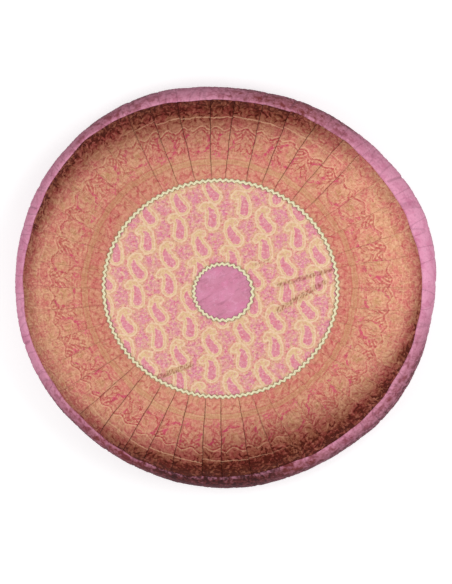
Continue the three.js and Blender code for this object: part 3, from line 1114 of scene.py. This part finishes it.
def brocade_material(colours):
    """Strip of brocade: a dark border, a gold line, scallops, a field of medallions and leafy
    sprays, a double stripe and an inner band of small leaves"""
    tan, salmon, olive = colours.tan, colours.salmon, colours.olive
    crimson, magenta, gold = colours.crimson, colours.magenta, colours.gold
    nodes = Nodes("Tucked brocade")
    across, inward = nodes.cloth_places()
    flat = nodes.join(across, inward)
    grain = nodes.noise(flat, 4.2, 3, 0.7)
    grain_too = nodes.noise((across + 90, inward - 40), 4.6, 3, 0.7)
    threads = nodes.noise((across / 1.8, inward / 10), 1, 2, 0.6)
    cross_threads = nodes.noise((across / 10, inward / 1.8), 1, 2, 0.6)
    twigs = nodes.noise(flat, 8, 2, 0.6, 1.1) - 0.5
    twigs_too = nodes.noise((across - 60, inward + 50), 9, 2, 0.6, 1.1) - 0.5
    sway = nodes.noise(flat, 26, 1, 0.5)
    sway_too = nodes.noise((across + 300, inward), 26, 1, 0.5)
    jag = (grain - 0.5) * 5
    across = across + (sway - 0.5) * 7 + jag
    drawn_in = inward + (sway_too - 0.5) * 5 + jag
    worn = 0.15 + 0.85 * nodes.noise(flat, 7, 3, 0.65).rise(0.42, 0.56)
    x = across.repeated(FIELD_REPEAT)
    y = drawn_in - FIELD_MIDDLE

    # Medallions with eight scallops, drawn thick on one side and thin on the other
    far = (x * x + y * y).root()
    angle = nodes.math("ARCTAN2", y, x)
    from_rim = far - (15.6 + 1.8 * abs((angle * 4 + 0.4).sin()))
    inside = from_rim.fall(-0.3, 0.6)
    thick = (angle - 2.4).cos().rise(-0.1, 0.9)
    thick_too = (angle + 0.9).cos().rise(0.3, 1.0)
    rim_place = from_rim + thick * 0.8 + thick_too * 0.6
    rim = rim_place.line(0.55 + thick + thick_too * 0.7, 0.7)
    heart = (far - (5.2 + 1.6 * (angle * 5 + 0.5).cos())).fall(-0.6, 0.9)
    arc = (far - 9.6 - 1.1 * (angle * 5).cos()).line(0.5, 0.7)
    arc = arc * (angle - 2.9).cos().rise(-0.3, 0.4)

    # Leafy sprays between them
    spray_x = (across + FIELD_REPEAT / 2).repeated(FIELD_REPEAT)
    mirrored = abs(spray_x)
    leaves = nodes.leaf(y + 1, spray_x - 2.2 * (y * 0.12).sin(), 16, 4.0)
    leaves = leaves.least(nodes.slanted_leaf(mirrored - 7.4, y - 9, 58, 8.5, 3.1))
    leaves = leaves.least(nodes.slanted_leaf(mirrored - 8.6, y + 11, -52, 9, 3.2))
    leaf_line = (leaves + 0.2).line(0.5, 0.8)
    leaf_fill = leaves.fall(-0.6, 0.4)
    stripes = ((y + mirrored * 0.9) * (FULL_TURN / 4.2)).sin().rise(0.1, 0.8)
    bloom_far = nodes.distance(spray_x, y, -9.5, 20)
    bloom_angle = nodes.math("ARCTAN2", y - 20, spray_x + 9.5)
    bloom = bloom_far - (4.4 + 1.7 * (bloom_angle * 5).cos())
    bud_far = nodes.distance(spray_x, y, 10.5, -2)
    bud = bud_far - (3.2 + 1.2 * (bloom_angle * 3 + 1).cos())
    bloom_fill = bloom.least(bud).fall(-0.5, 0.6)
    bloom_eye = bloom_far.fall(1.0, 1.9)
    stem = (y + 17 * (across * (FULL_TURN / FIELD_REPEAT)).cos()).line(0.35, 0.7)

    # Small curls and loose strokes fill the ground
    curl_x = (across + (drawn_in / 7.4).floor() * 5.3).repeated(9.3)
    curl_y = drawn_in.repeated(7.4)
    curls = (nodes.distance(curl_x, curl_y, 0.4, 0.3) - 1.9).line(0.35, 0.7)
    curls = curls * (curl_x + curl_y * 0.7).rise(-0.8, 0.6)
    red_strokes = nodes.strokes(across, drawn_in, 10.5, 6.5, 1.15)
    pale_strokes = nodes.strokes(across + 200, drawn_in - 90, 10, 6.5, 1.1)

    # A wavy double line outside the field
    wave = drawn_in - 49.5 - 3.2 * (across * (FULL_TURN / 26)).cos()
    wave_line = wave.line(0.5, 0.6)
    wave_under = (wave - 2.6).line(0.8, 0.8)
    wave_low = (wave - 5).line(0.4, 0.6)

    # Curved stripes fan out beside each spray
    fan_far = nodes.distance(mirrored, y, 22, -20)
    fan_stripes = (fan_far * (FULL_TURN / 4.6)).sin().rise(-0.1, 0.7)
    fan = fan_far.rise(9, 10.5) * fan_far.fall(25, 27) * mirrored.fall(13, 15)

    # Border: round scrolls with leaves between, and a beaded edge
    scroll_x = across.repeated(27)
    scroll_far = nodes.distance(scroll_x, drawn_in, 0, 17)
    scroll = (scroll_far - 8.2).line(0.7, 0.9) * (scroll_x + drawn_in - 17).rise(-7, 1)
    scroll_fill = scroll_far.fall(3.4, 5.6)
    between_x = (across + 13.5).repeated(27)
    border_leaf = nodes.leaf(drawn_in - 16, between_x, 10, 3.1).fall(-0.6, 0.6)
    beads = nodes.distance(across.repeated(4.6), drawn_in, 0, 3.0).fall(0.9, 1.7)

    # Inner band of small strokes, leaning both ways
    stroke = nodes.slanted_leaf(across.repeated(13.5), drawn_in - 112, 50, 8, 1.6)
    stroke_x = (across + 6.7).repeated(13.5)
    stroke_too = nodes.slanted_leaf(stroke_x, drawn_in - 113, -38, 6, 1.3)
    stroke = stroke.fall(-0.6, 0.7).most(stroke_too.fall(-0.6, 0.7))

    # Bands across the strip
    in_border = drawn_in.fall(30.6, 31.8)
    in_waves = drawn_in.rise(33.4, 34.6) * wave.fall(6, 7)
    in_field = wave.rise(3.4, 4.6) * drawn_in.fall(94.5, 95.8)
    in_buds = drawn_in.rise(103.5, 104.8)
    gold_line = (drawn_in - 32.6).line(0.5, 0.6)
    stripe = drawn_in.rise(95.2, 96.2) * drawn_in.fall(103, 104)
    stripe_edges = (drawn_in - 94.6).line(0.6, 0.7).most((drawn_in - 104).line(0.5, 0.7))
    stripe_lines = stripe_edges.most((drawn_in - 99.4).line(0.4, 0.7) * 0.5)
    strewn = 1 - stripe
    outside = 1 - inside
    free = outside * in_field

    # The woven ground, with threads of both colours all through it
    broad = nodes.noise(flat, 30, 2, 0.55, 0.4)
    patchy = nodes.noise(flat, 11, 2, 0.6)
    show = nodes.painted("tucks_show")
    base = nodes.layered(
        nodes.mix(broad.rise(0.4, 0.6), salmon, tan),
        (patchy.rise(0.52, 0.66) * 0.6, olive),
        (in_buds * 0.16, nodes.mix(0.3, salmon, crimson)),
        (stripe * 0.85, nodes.mix(0.65, tan, olive)),
        (inside * in_field * 0.45, tan),
        (inside * in_field * heart * 0.7, olive),
        (free * leaf_fill * 0.55, tan),
        (free * leaf_fill * stripes * 0.5, gold),
        (twigs.line(0.01, 0.022) * 0.15, crimson),
        (twigs_too.line(0.01, 0.022) * 0.45, gold),
        (grain.rise(0.5, 0.64) * (1 - stripe * 0.7) * 0.26, crimson),
        (grain_too.rise(0.5, 0.64) * 0.45, gold),
    )

    # The drawing over the weave
    in_light = 1 - nodes.painted("shade").rise(0.2, 0.6) * 0.8
    stroke_red = nodes.mix(0.4, crimson, magenta)
    drawn = free * leaf_line.most(stem * (1 - leaf_fill) * 0.7)
    drawn = drawn.most(in_field * rim).most(in_field * inside * arc * 0.8)
    drawn = drawn.most(in_waves * wave_under)
    drawn = drawn.most(in_border * (scroll * 0.8).most(scroll_fill * 0.6).most(border_leaf * 0.55))
    drawn = drawn.most(in_border * beads * 0.8).most(in_buds * stroke * 0.9)
    accent = (rim * thick.most(thick_too)).most(outside * bloom_fill * (1 - bloom_eye))
    base = nodes.layered(
        base,
        (pale_strokes * strewn * in_light * 0.42, gold),
        (red_strokes * strewn * (0.13 + 0.26 * worn), stroke_red),
        (curls * (free + in_waves + in_border) * 0.25, crimson),
        (free * fan * 0.5, nodes.mix(fan_stripes, crimson, gold)),
        (in_field.most(in_waves) * show * 0.1, stroke_red),
        (drawn * worn * (0.65 + 0.2 * show), crimson),
        (stripe_lines * (0.25 + 0.25 * worn), crimson),
        (in_field * accent * worn * 0.6, magenta),
        (in_waves * wave_line.most(wave_low * 0.6) * (0.5 + 0.3 * show), gold),
        (free * bloom_eye * 0.8, tan),
        (gold_line * (0.35 + 0.65 * worn) * (0.35 + 0.5 * show), gold),
        (threads.rise(0.5, 0.7) * 0.34, colours.umber),
        (cross_threads.rise(0.52, 0.72) * 0.35, gold),
    )

    # The inner band is more golden where the tucks show
    inner = inward.rise(88, 96) * 0.14
    inner_red = nodes.mix(0.5, salmon, crimson)
    base = nodes.layered(base, (inner * show, gold), (inner * (1 - show), inner_red))

    # The painted shade where the cloth rounds over to the seam or tucks under a fold. Gathers and
    # puckers by the seam are only painted as uneven shade.
    blotches = nodes.noise(flat, 18, 3, 0.65)
    gather_shade = nodes.noise((across / 5, (inward + across * 0.7) / 19), 1, 3, 0.65, 0.5)
    pucker_shade = nodes.noise((across / 17, (inward - across * 0.3) / 15), 1, 3, 0.6, 0.4)
    by_seam = inward.fall(8, 42) * (1 - show * 0.75)
    uneven = 0.5 * (blotches - 0.5) + 0.8 * (grain - 0.5)
    uneven = uneven + 0.26 * red_strokes - (0.22 - 0.1 * show) * pale_strokes
    uneven = uneven + by_seam * (1.1 * (gather_shade - 0.5) + 0.8 * (pucker_shade - 0.5))
    beside_fold = nodes.painted("beside_fold")
    under_fold = beside_fold.fall(1, 12) * show * 0.05
    shade = nodes.painted("shade") * (1 + uneven) + under_fold
    base = nodes.mix(shade.most(0).least(0.94), base, RING_IN_SHADE, "MULTIPLY")

    # Painted light: the deepest painted shade goes darker still, the gold thread gets painted glints
    # in the shade, and each fold's line gets a painted shadow
    glints = (gold_line * 0.4).most(in_waves * wave_line * 0.25) * show
    fold_shadow_line = beside_fold.fall(0.2, 1.7) * show * (0.35 + 0.25 * worn)
    base = nodes.layered(
        base,
        (shade.rise(0.74, 1.0) * 0.6, colour(44, 24, 18)),
        (glints * shade.rise(0.1, 0.6), gold),
        (fold_shadow_line, colour(64, 24, 16)),
    )
    height = threads * 0.14 + cross_threads * 0.12 + drawn * 0.12 + grain * 0.12
    fixed = {
        "Metallic": 0.1,
        "Specular IOR Level": 0.12,
        "Specular Tint": colour(250, 190, 150),
    }
    return nodes.cloth(base, 0.52 + 0.1 * drawn - 0.06 * gold_line, height, 0.6, fixed)


class CUSHION_OT_tucked_ring(bpy.types.Operator):
    """Lay the brocade ring in its knife tucks"""

    bl_idname = "cushion.tucked_ring"
    bl_label = "Tucked Ring"

    def execute(self, context):
        colours, sizes = settings()
        mesh = make_ring(sizes.tuck_depth / MM)
        ring = put_in_scene(mesh, brocade_material(colours), "pleated_brocade", "ring_panel")
        give_thickness(ring, sizes.cloth_thickness)
        return {"FINISHED"}


# Paisley ring


PAISLEY_COLUMNS = 480
PAISLEY_ROWS = 56
# How far a sheet's edge passes its join under the braid, and between which distances from the
# join the braid stops holding it down
PAST_JOIN = 0.2
HOLD_ENDS = (3.5, 12)


def make_paisley_ring():
    ring = RoundMesh("paisley_ring", PAISLEY_ROWS, PAISLEY_COLUMNS)
    start = join_radius(INNER_JOIN, ring.turn) - PAST_JOIN
    end = join_radius(OUTER_JOIN, ring.turn) + PAST_JOIN
    distance = start + (end - start) * ring.row / (PAISLEY_ROWS - 1)
    x, y = spot(ring.turn, distance)
    nearest = np.minimum(distance - start, end - distance)
    free = rise_between(nearest, *HOLD_ENDS)
    pucker = 0.25 * np.sin(ring.turn * OUTER_BRAID_WAVES / 2) * np.exp(-nearest / 4)
    creased = crease_rise(x, y)
    ring.move_to(face_places(ring.turn, distance, creased * free + pucker * (nearest > 1)))
    ring.map_cloth(x, y)
    ring.paint("crease", creased * rise_between(nearest, 1, 5))
    ring.paint("from_join", nearest)
    return ring.finish(facing=1)


# A paisley drop's spine, from its round end to the curled tip: places and radii in millimetres
Round = namedtuple("Round", "x y radius")
PAISLEY_DROP = [
    Round(5, -9.6, 10.8),
    Round(5.4, -1, 10),
    Round(4.4, 6.5, 8.8),
    Round(1, 12, 7.2),
    Round(-4.4, 13.6, 6),
    Round(-8.4, 10.6, 5),
]
DROP_HEART = [
    Round(5, -10, 5.9),
    Round(5.6, -1, 5.1),
    Round(4.2, 6.4, 3.4),
    Round(0.6, 10.6, 1.4),
]
ROW_HEADING = 20
DROP_APART = 47.2
ROW_APART = 66
ROW_SHIFT = 7.2
SECOND_ROW_BACK = -20.6
SECOND_ROW_DOWN = 33
SECOND_ROW_LEAN = 37
FIRST_DROP_X = -13.9
FIRST_DROP_Y = 101.8


def drop_field(nodes, x, y, spine):
    """Below 0 inside a shape that swells and thins along a spine, about in millimetres"""
    field = None
    for start, end in zip(spine, spine[1:]):
        run_x = end.x - start.x
        run_y = end.y - start.y
        length = run_x**2 + run_y**2
        from_x = x - start.x
        from_y = y - start.y
        share = (from_x * (run_x / length) + from_y * (run_y / length)).most(0).least(1)
        radius = start.radius + share * (end.radius - start.radius)
        apart = nodes.distance(from_x, from_y, share * run_x, share * run_y) - radius
        field = apart if field is None else field.blended_least(apart, 1.5)
    return field


def paisley_material(colours):
    """Rows of paisley drops, each row the mirror of the next, over a speckled ground"""
    pink, rose, straw = colours.pink, colours.rose, colours.straw
    cream, magenta = colours.cream, colours.magenta
    nodes = Nodes("Paisley brocade")
    x, y = nodes.cloth_places()
    flat = nodes.join(x, y)
    speckle = nodes.noise(flat, 5.2, 2, 0.75)
    speckle_too = nodes.noise((x + 70, y - 30), 5.6, 2, 0.75)
    dotted = nodes.noise((x - 50, y + 80), 5.0, 2, 0.75)
    jag = (speckle - 0.5) * 4
    sway = nodes.noise(flat, 40, 1, 0.5)
    drawn_x = x - FIRST_DROP_X + (sway - 0.5) * 5 + jag
    drawn_y = y - FIRST_DROP_Y + jag
    right, up = nodes.turned(drawn_x, drawn_y, ROW_HEADING)

    def drops(shift_right, shift_down):
        """The place within a drop's own cell"""
        lower = up * -1 - shift_down
        row = (lower / ROW_APART + 0.5).floor()
        in_row = lower - row * ROW_APART
        in_cell = (right - shift_right - row * ROW_SHIFT).repeated(DROP_APART)
        return nodes.turned(in_cell, in_row * -1, -ROW_HEADING)

    leant_x, leant_y = nodes.turned(*drops(SECOND_ROW_BACK, SECOND_ROW_DOWN), SECOND_ROW_LEAN)
    rows = [drops(0, 0), (leant_x * -1, leant_y)]

    def nearer(measure, *what):
        """The less of what a measure gives for the two kinds of row"""
        first, second = [measure(*place, *what) for place in rows]
        return first.least(second)

    def field_of(across, along, spine):
        return drop_field(nodes, across, along, spine)

    field = nearer(field_of, PAISLEY_DROP)
    heart_field = nearer(field_of, DROP_HEART)
    tip = PAISLEY_DROP[-1]
    tip_eye = nearer(nodes.distance, tip.x, tip.y).fall(0.8, 1.8)
    band = field.fall(-0.4, 0.6)
    heart_colour = nodes.layered(
        pink,
        (0.15 + speckle.rise(0.46, 0.64) * 0.5, magenta),
        (speckle_too.rise(0.54, 0.7) * 0.35, cream),
    )

    # Pink islands lie in the middle of the ground, orange-gold round the drops
    islands = field.rise(1.8, 4.8)
    dot_x = (x + (y / 2.6).floor() * 1.5).repeated(3.0)
    dots = nodes.distance(dot_x, y.repeated(2.6), 0, 0).fall(0.5, 1.1)
    gilt = nodes.noise((x - 120, y - 60), 12, 2, 0.6).rise(0.46, 0.6)
    threads = nodes.noise((right / 1.4, up / 5), 1, 2, 0.6)
    cross_threads = nodes.noise((right / 5, up / 1.4), 1, 2, 0.6)
    specks = nodes.noise((x + 20, y + 140), 3.6, 2, 0.7)
    crease_shade_flecks = nodes.noise(((right - up * 0.5) / 2.3, up / 5), 1, 1, 0.5)
    crease = nodes.painted("crease")
    base = nodes.layered(
        rose,
        (islands * 0.85, pink),
        (islands * dots * 0.35, magenta),
        (dotted.rise(0.5, 0.62) * 0.5, rose),
        (speckle.rise(0.51, 0.6) * 0.65, straw),
        (speckle_too.rise(0.53, 0.62) * 0.5, magenta),
        (gilt * (1 - islands * 0.45) * 0.6, nodes.mix(0.35, straw, rose)),
        (band * 0.8, nodes.mix(speckle_too.rise(0.46, 0.6) * 0.6, straw, rose)),
        ((field + 0.8).line(0.7, 0.8) * 0.75, cream),
        (band * (heart_field - 0.5).line(0.5, 0.7) * 0.5, cream),
        (heart_field.fall(-0.5, 0.5) * 0.85, heart_colour),
        (band * tip_eye * 0.45, pink),
        (threads.rise(0.52, 0.76) * 0.22, colours.crimson),
        (cross_threads.rise(0.52, 0.76) * 0.4, colour(250, 212, 196)),
        (specks.rise(0.56, 0.68) * (1 - band * 0.6) * 0.5, colour(158, 84, 92)),
        (specks.fall(0.36, 0.46) * 0.4, colour(250, 216, 192)),
        # Painted shade along the creases, broken into dark flecks
        (crease.rise(0.5, 1.1) * 0.3, colour(176, 120, 84)),
        (crease.rise(0.55, 1.1) * crease_shade_flecks.rise(0.46, 0.6) * 0.62, colour(128, 60, 42)),
        # Painted shade in a narrow band beside each join, next to the braids
        (nodes.painted("from_join").fall(2, 6) * 0.2, colours.umber),
    )
    height = threads * 0.12 + cross_threads * 0.12 + band * 0.14 + speckle * 0.1
    fixed = {"Metallic": 0.08, "Specular IOR Level": 0.2}
    return nodes.cloth(base, 0.55 - 0.08 * band, height, 0.55, fixed)


class CUSHION_OT_paisley_ring(bpy.types.Operator):
    """Lay the paisley ring between the two joins"""

    bl_idname = "cushion.paisley_ring"
    bl_label = "Paisley Ring"

    def execute(self, context):
        colours, sizes = settings()
        material = paisley_material(colours)
        ring = put_in_scene(make_paisley_ring(), material, "paisley_brocade", "paisley_panel")
        give_thickness(ring, sizes.cloth_thickness)
        2 * OUTER_JOIN.half_x * MM
        2 * OUTER_JOIN.half_y * MM
        oval_area(OUTER_JOIN) - oval_area(INNER_JOIN)
        return {"FINISHED"}


# Velvet disc in the middle


DISC_COLUMNS = 180
DISC_ROWS = 26
DISC_LIFT = 0.3


def make_disc():
    disc = RoundMesh("velvet_disc", DISC_ROWS, DISC_COLUMNS)
    end = join_radius(INNER_JOIN, disc.turn) + PAST_JOIN
    distance = end * disc.row / (DISC_ROWS - 1)
    x, y = spot(disc.turn, distance)
    free = rise_between(end - distance, *HOLD_ENDS)
    disc.move_to(face_places(disc.turn, distance, (DISC_LIFT + crease_rise(x, y)) * free))
    disc.map_cloth(x, y)
    return disc.finish(facing=1)


class CUSHION_OT_velvet_disc(bpy.types.Operator):
    """Lay the velvet disc in the middle of the face"""

    bl_idname = "cushion.velvet_disc"
    bl_label = "Velvet Disc"

    def execute(self, context):
        colours, sizes = settings()
        material = velvet_material("Disc velvet", colours.disc, colours.velvet_deep, False)
        disc = put_in_scene(make_disc(), material, "centre_velvet", "centre_patch")
        give_thickness(disc, sizes.cloth_thickness)
        2 * INNER_JOIN.half_x * MM
        2 * INNER_JOIN.half_y * MM
        oval_area(INNER_JOIN)
        return {"FINISHED"}


# Braids and their stitches


BRAID_STEPS_PER_WAVE = 14
BRAID_SECTION = 14
BRAID_CORDS = 3
CORD_WIDTH = 1.13
PLAIT_LENGTH = 0.9
STITCH_SIZE = (1.1 * MM, 0.22 * MM, 0.2 * MM)


def make_braid(name, join, waves):
    """A flat braid of three cords that swings from side to side over a join"""
    braid = RoundMesh(name, BRAID_SECTION + 1, waves * BRAID_STEPS_PER_WAVE)
    round_section = FULL_TURN * braid.row / BRAID_SECTION
    aside = np.cos(round_section)
    above = np.sin(round_section)
    squared = np.sign(aside) * np.abs(aside) ** 0.7
    cords = 0.82 + 0.18 * np.abs(np.cos(math.pi * BRAID_CORDS / 2 * (squared + 1)))
    stray = 1 + 0.12 * np.sin(braid.turn * 7 + 1) + 0.08 * np.sin(braid.turn * 17)
    swing = BRAID_SWING * stray * np.sin(waves * braid.turn)
    distance = join_radius(join, braid.turn) + swing + BRAID_STRAND / 2 * squared
    plait = 0.12 * np.sin(braid.turn * waves * 4 + squared * 3)
    middle = BRAID_GAP + BRAID_THICKNESS / 2
    lift = middle + BRAID_THICKNESS / 2 * above * cords + plait * (above > 0.2)
    braid.move_to(face_places(braid.turn, distance, lift))
    radius = float(join_radius(join, 0.0))
    across = squared * BRAID_STRAND / 2 + above * 0.3
    braid.map_cloth(braid.turn * radius, across, FULL_TURN * radius)
    return braid.finish()


def braid_material(colours):
    """Lustrous plaited thread, with painted grey-green shade in its hollows, between its cords and
    along its edges
    """
    nodes = Nodes("Zigzag braid")
    along, aside = nodes.cloth_places()
    strands = abs((along + abs(aside) * 1.3).repeated(PLAIT_LENGTH)) / (PLAIT_LENGTH / 2)
    hollow = strands.rise(0.55, 1.0)
    cords = abs(aside.repeated(CORD_WIDTH)) / (CORD_WIDTH / 2)
    between = cords.rise(0.66, 1.0)
    at_edge = (abs(aside) / BRAID_STRAND).rise(0.24, 0.46)
    # Painted shade: grey-green in the plait's hollows, between the cords and along the braid's edges
    base = nodes.layered(
        colours.braid,
        (nodes.noise((along, aside), 2.4, 2, 0.6).rise(0.4, 0.7) * 0.35, colour(214, 196, 138)),
        (hollow * 0.25, colour(160, 150, 100)),
        (between * 0.3, colour(140, 134, 90)),
        (at_edge * 0.75, colour(158, 156, 108)),
    )
    height = (1 - hollow) * 0.3 + (1 - between) * 0.35
    fixed = {"Sheen Weight": 0.2, "Sheen Roughness": 0.4, "Specular IOR Level": 0.5}
    return nodes.cloth(base, 0.5 + 0.2 * hollow, height, 0.6, fixed)


def make_stitches(name, join, waves):
    """A short stitch over the braid at each of its crossings"""
    bm = bmesh.new()
    high = np.array(BRAID_GAP + BRAID_THICKNESS * 1.02)
    for number in range(2 * waves):
        turn = np.array(math.pi * number / waves + 0.02 * math.sin(number * 5.1) / waves)
        middle = (face_places(turn, join_radius(join, turn), high) + SHIFT) * MM
        ahead = Vector((-math.sin(turn), math.cos(turn), 0))
        stitch = bmesh.ops.create_icosphere(bm, subdivisions=1, radius=1)["verts"]
        bmesh.ops.scale(bm, verts=stitch, vec=STITCH_SIZE)
        spin = ahead.to_track_quat("X", "Z").to_matrix()
        bmesh.ops.rotate(bm, verts=stitch, cent=(0, 0, 0), matrix=spin)
        bmesh.ops.translate(bm, verts=stitch, vec=Vector(middle))
    return smoothed(bm, bpy.data.meshes.new(name))


def thread_material(colours):
    nodes = Nodes("Sewing thread")
    fibres = nodes.noise(nodes.object_places(), 0.4, 2, 0.6)
    base = nodes.mix(fibres.rise(0.35, 0.7) * 0.4, colours.braid, colour(190, 170, 120))
    return nodes.cloth(base, 0.55 + 0.1 * fibres, fibres * 0.1, 0.4, {"Specular IOR Level": 0.4})


class CUSHION_OT_braids(bpy.types.Operator):
    """Sew a zigzag braid over each join"""

    bl_idname = "cushion.braids"
    bl_label = "Braids"

    def execute(self, context):
        colours, _ = settings()
        braid = braid_material(colours)
        thread = thread_material(colours)
        joins = [
            ("outer", OUTER_JOIN, OUTER_BRAID_WAVES, "outer_trim"),
            ("inner", INNER_JOIN, INNER_BRAID_WAVES, "inner_trim"),
        ]
        for name, join, waves, node in joins:
            put_in_scene(make_braid(f"{name}_braid", join, waves), braid, "zigzag_braid", node)
            stitches = make_stitches(f"{name}_braid_stitches", join, waves)
            put_in_scene(stitches, thread, "zigzag_braid")
        return {"FINISHED"}


# Plain back


BACK_COLUMNS = 320
BACK_ROWS = 40
BACK_THREADS = FULL_TURN / 1.1


def make_back():
    back = RoundMesh("back_cloth", BACK_ROWS, BACK_COLUMNS)
    share = back.row / (BACK_ROWS - 1)
    share = 0.5 * share + 0.5 * np.sin(share * math.pi / 2)
    distance = share * seam_radius(back.turn)
    near_seam = rise_between(share, 0.82, 0.94) * (1 - rise_between(share, 0.97, 1))
    slack = 0.35 * np.sin(back.turn * 37 + 2 * np.sin(back.turn * 5)) * near_seam
    places = surface_point(back_height, back.turn, distance, slack)
    places[:, 2] = np.maximum(places[:, 2], 0)
    back.move_to(places)
    back.map_cloth(places[:, 0], places[:, 1])
    return back.finish(facing=-1)


def back_material(colours):
    """Plain-woven cotton"""
    nodes = Nodes("Back cotton")
    x, y = nodes.cloth_places()
    over = (x * BACK_THREADS).sin() * (y * BACK_THREADS).sin()
    patches = nodes.noise((x, y), 60, 3, 0.6)
    slubs = nodes.noise((x / 9, y / 0.8), 1, 2, 0.6)
    base = nodes.layered(
        colours.back,
        (over.rise(-0.4, 0.9) * 0.25, colour(184, 124, 146)),
        (patches.rise(0.4, 0.7) * 0.25, colour(132, 76, 98)),
        (slubs.rise(0.6, 0.8) * 0.3, colour(120, 66, 88)),
    )
    height = over * 0.1 + slubs * 0.08
    return nodes.cloth(base, 0.82 - 0.05 * over, height, 0.5, {"Sheen Weight": 0.1})


class CUSHION_OT_back(bpy.types.Operator):
    """Sew the plain back in"""

    bl_idname = "cushion.back"
    bl_label = "Back"

    def execute(self, context):
        colours, sizes = settings()
        back = put_in_scene(make_back(), back_material(colours), "back_cloth", "back_panel")
        give_thickness(back, sizes.cloth_thickness)
        return {"FINISHED"}


# Studio: a pale floor, a softbox at each side, and the camera almost straight above


PICTURE_WIDTH = 452
PICTURE_HEIGHT = 584
CUSHION_PIXEL_X = 224.4
CUSHION_PIXEL_Y = 288.4
WIDEST_HEIGHT = 56
SENSOR = 36
FLOOR_HALF_WIDTH = 6
SOFTBOX_DISTANCE = 1.7
SOFTBOX_WIDTH = 1.3
SOFTBOX_HEIGHT = 0.9


def direction(heading, height):
    level = math.cos(height)
    return Vector((math.cos(heading) * level, math.sin(heading) * level, math.sin(height)))


def add_softbox(name, towards, power, target):
    lamp = bpy.data.lights.new(name, "AREA")
    lamp.shape = "RECTANGLE"
    lamp.size = SOFTBOX_WIDTH
    lamp.size_y = SOFTBOX_HEIGHT
    lamp.energy = power
    light = bpy.data.objects.new(name, lamp)
    light.location = target + towards * SOFTBOX_DISTANCE
    light.rotation_euler = (-towards).to_track_quat("-Z", "Y").to_euler()
    bpy.context.scene.collection.objects.link(light)


def add_floor():
    nodes = Nodes("Pale floor")
    mottle = nodes.noise(nodes.object_places(), 240, 2, 0.5)
    base = nodes.mix(mottle, colour(247, 247, 247), colour(250, 250, 250))
    fixed = {
        "Specular IOR Level": 0.1,
        "Emission Color": colour(255, 255, 255),
        "Emission Strength": 0.3,
    }
    bm = bmesh.new()
    bmesh.ops.create_grid(bm, x_segments=1, y_segments=1, size=FLOOR_HALF_WIDTH)
    mesh = bpy.data.meshes.new("floor")
    bm.to_mesh(mesh)
    bm.free()
    mesh.materials.append(nodes.cloth(base, 0.9, mottle, 0.02, fixed))
    floor = bpy.data.objects.new("floor", mesh)
    bpy.context.scene.collection.objects.link(floor)
    # The cushion's sides fall into shade, with no light from the floor on them
    floor.visible_diffuse = False


def add_camera(studio, target):
    towards = Vector((math.tan(studio.lean_right), math.tan(studio.lean_up), 1)).normalized()
    scale = studio.millimetres_per_pixel * MM
    aim_right = (PICTURE_WIDTH / 2 - CUSHION_PIXEL_X) * scale
    aim_up = (CUSHION_PIXEL_Y - PICTURE_HEIGHT / 2) * scale
    view = bpy.data.cameras.new("camera")
    view.sensor_width = SENSOR
    view.lens = SENSOR * studio.distance / (PICTURE_HEIGHT * scale)
    view.clip_end = 50
    camera = bpy.data.objects.new("camera", view)
    camera.location = target + Vector((aim_right, aim_up, 0)) + towards * studio.distance
    right = Vector((0, 1, 0)).cross(towards).normalized()
    upright = Matrix((right, towards.cross(right), towards)).transposed()
    camera.rotation_euler = upright.to_euler()
    bpy.context.scene.collection.objects.link(camera)
    bpy.context.scene.camera = camera


class CUSHION_OT_studio(bpy.types.Operator):
    """Set the floor, the lights and the camera"""

    bl_idname = "cushion.studio"
    bl_label = "Studio"

    def execute(self, context):
        studio = context.scene.studio_settings
        target = Vector((0, 0, WIDEST_HEIGHT * MM))
        add_floor()
        add_camera(studio, target)
        heading = studio.light_heading
        height = studio.light_height
        add_softbox("softbox_right", direction(heading, height), studio.right_light, target)
        heading = heading + math.pi
        add_softbox("softbox_left", direction(heading, height), studio.left_light, target)
        world = bpy.data.worlds.new("Room")
        world.use_nodes = True
        background = world.node_tree.nodes["Background"]
        background.inputs["Color"].default_value = (1, 1, 1, 1)
        background.inputs["Strength"].default_value = studio.surroundings
        context.scene.world = world
        context.scene.view_settings.view_transform = "Standard"
        return {"FINISHED"}


# Add-on


OPERATORS = [
    CUSHION_OT_studio,
    CUSHION_OT_filling,
    CUSHION_OT_velvet_side,
    CUSHION_OT_back,
    CUSHION_OT_tucked_ring,
    CUSHION_OT_paisley_ring,
    CUSHION_OT_velvet_disc,
    CUSHION_OT_braids,
]
GROUPS = {
    "cushion_colours": CushionColours,
    "cushion_sizes": CushionSizes,
    "studio_settings": StudioSettings,
}


class CUSHION_PT_panel(bpy.types.Panel):
    """Lists the cushion's pieces and settings"""

    bl_idname = "CUSHION_PT_panel"
    bl_label = "Round Floor Cushion"
    bl_space_type = "VIEW_3D"
    bl_region_type = "UI"
    bl_category = "Cushion"

    def draw(self, context):
        layout = self.layout
        for operator in OPERATORS:
            layout.operator(operator.bl_idname)
        for name, group in GROUPS.items():
            box = layout.box()
            for key in group.__annotations__:
                box.prop(getattr(context.scene, name), key)


CLASSES = [*GROUPS.values(), *OPERATORS, CUSHION_PT_panel]


def register():
    for cls in CLASSES:
        bpy.utils.register_class(cls)
    for name, group in GROUPS.items():
        setattr(bpy.types.Scene, name, bpy.props.PointerProperty(type=group))


def unregister():
    for name in GROUPS:
        delattr(bpy.types.Scene, name)
    for cls in reversed(CLASSES):
        bpy.utils.unregister_class(cls)


def main():
    register()
    bpy.ops.cushion.studio()
    bpy.ops.cushion.filling()
    bpy.ops.cushion.velvet_side()
    bpy.ops.cushion.back()
    bpy.ops.cushion.tucked_ring()
    bpy.ops.cushion.paisley_ring()
    bpy.ops.cushion.velvet_disc()
    bpy.ops.cushion.braids()


if __name__ == "__main__":
    main()
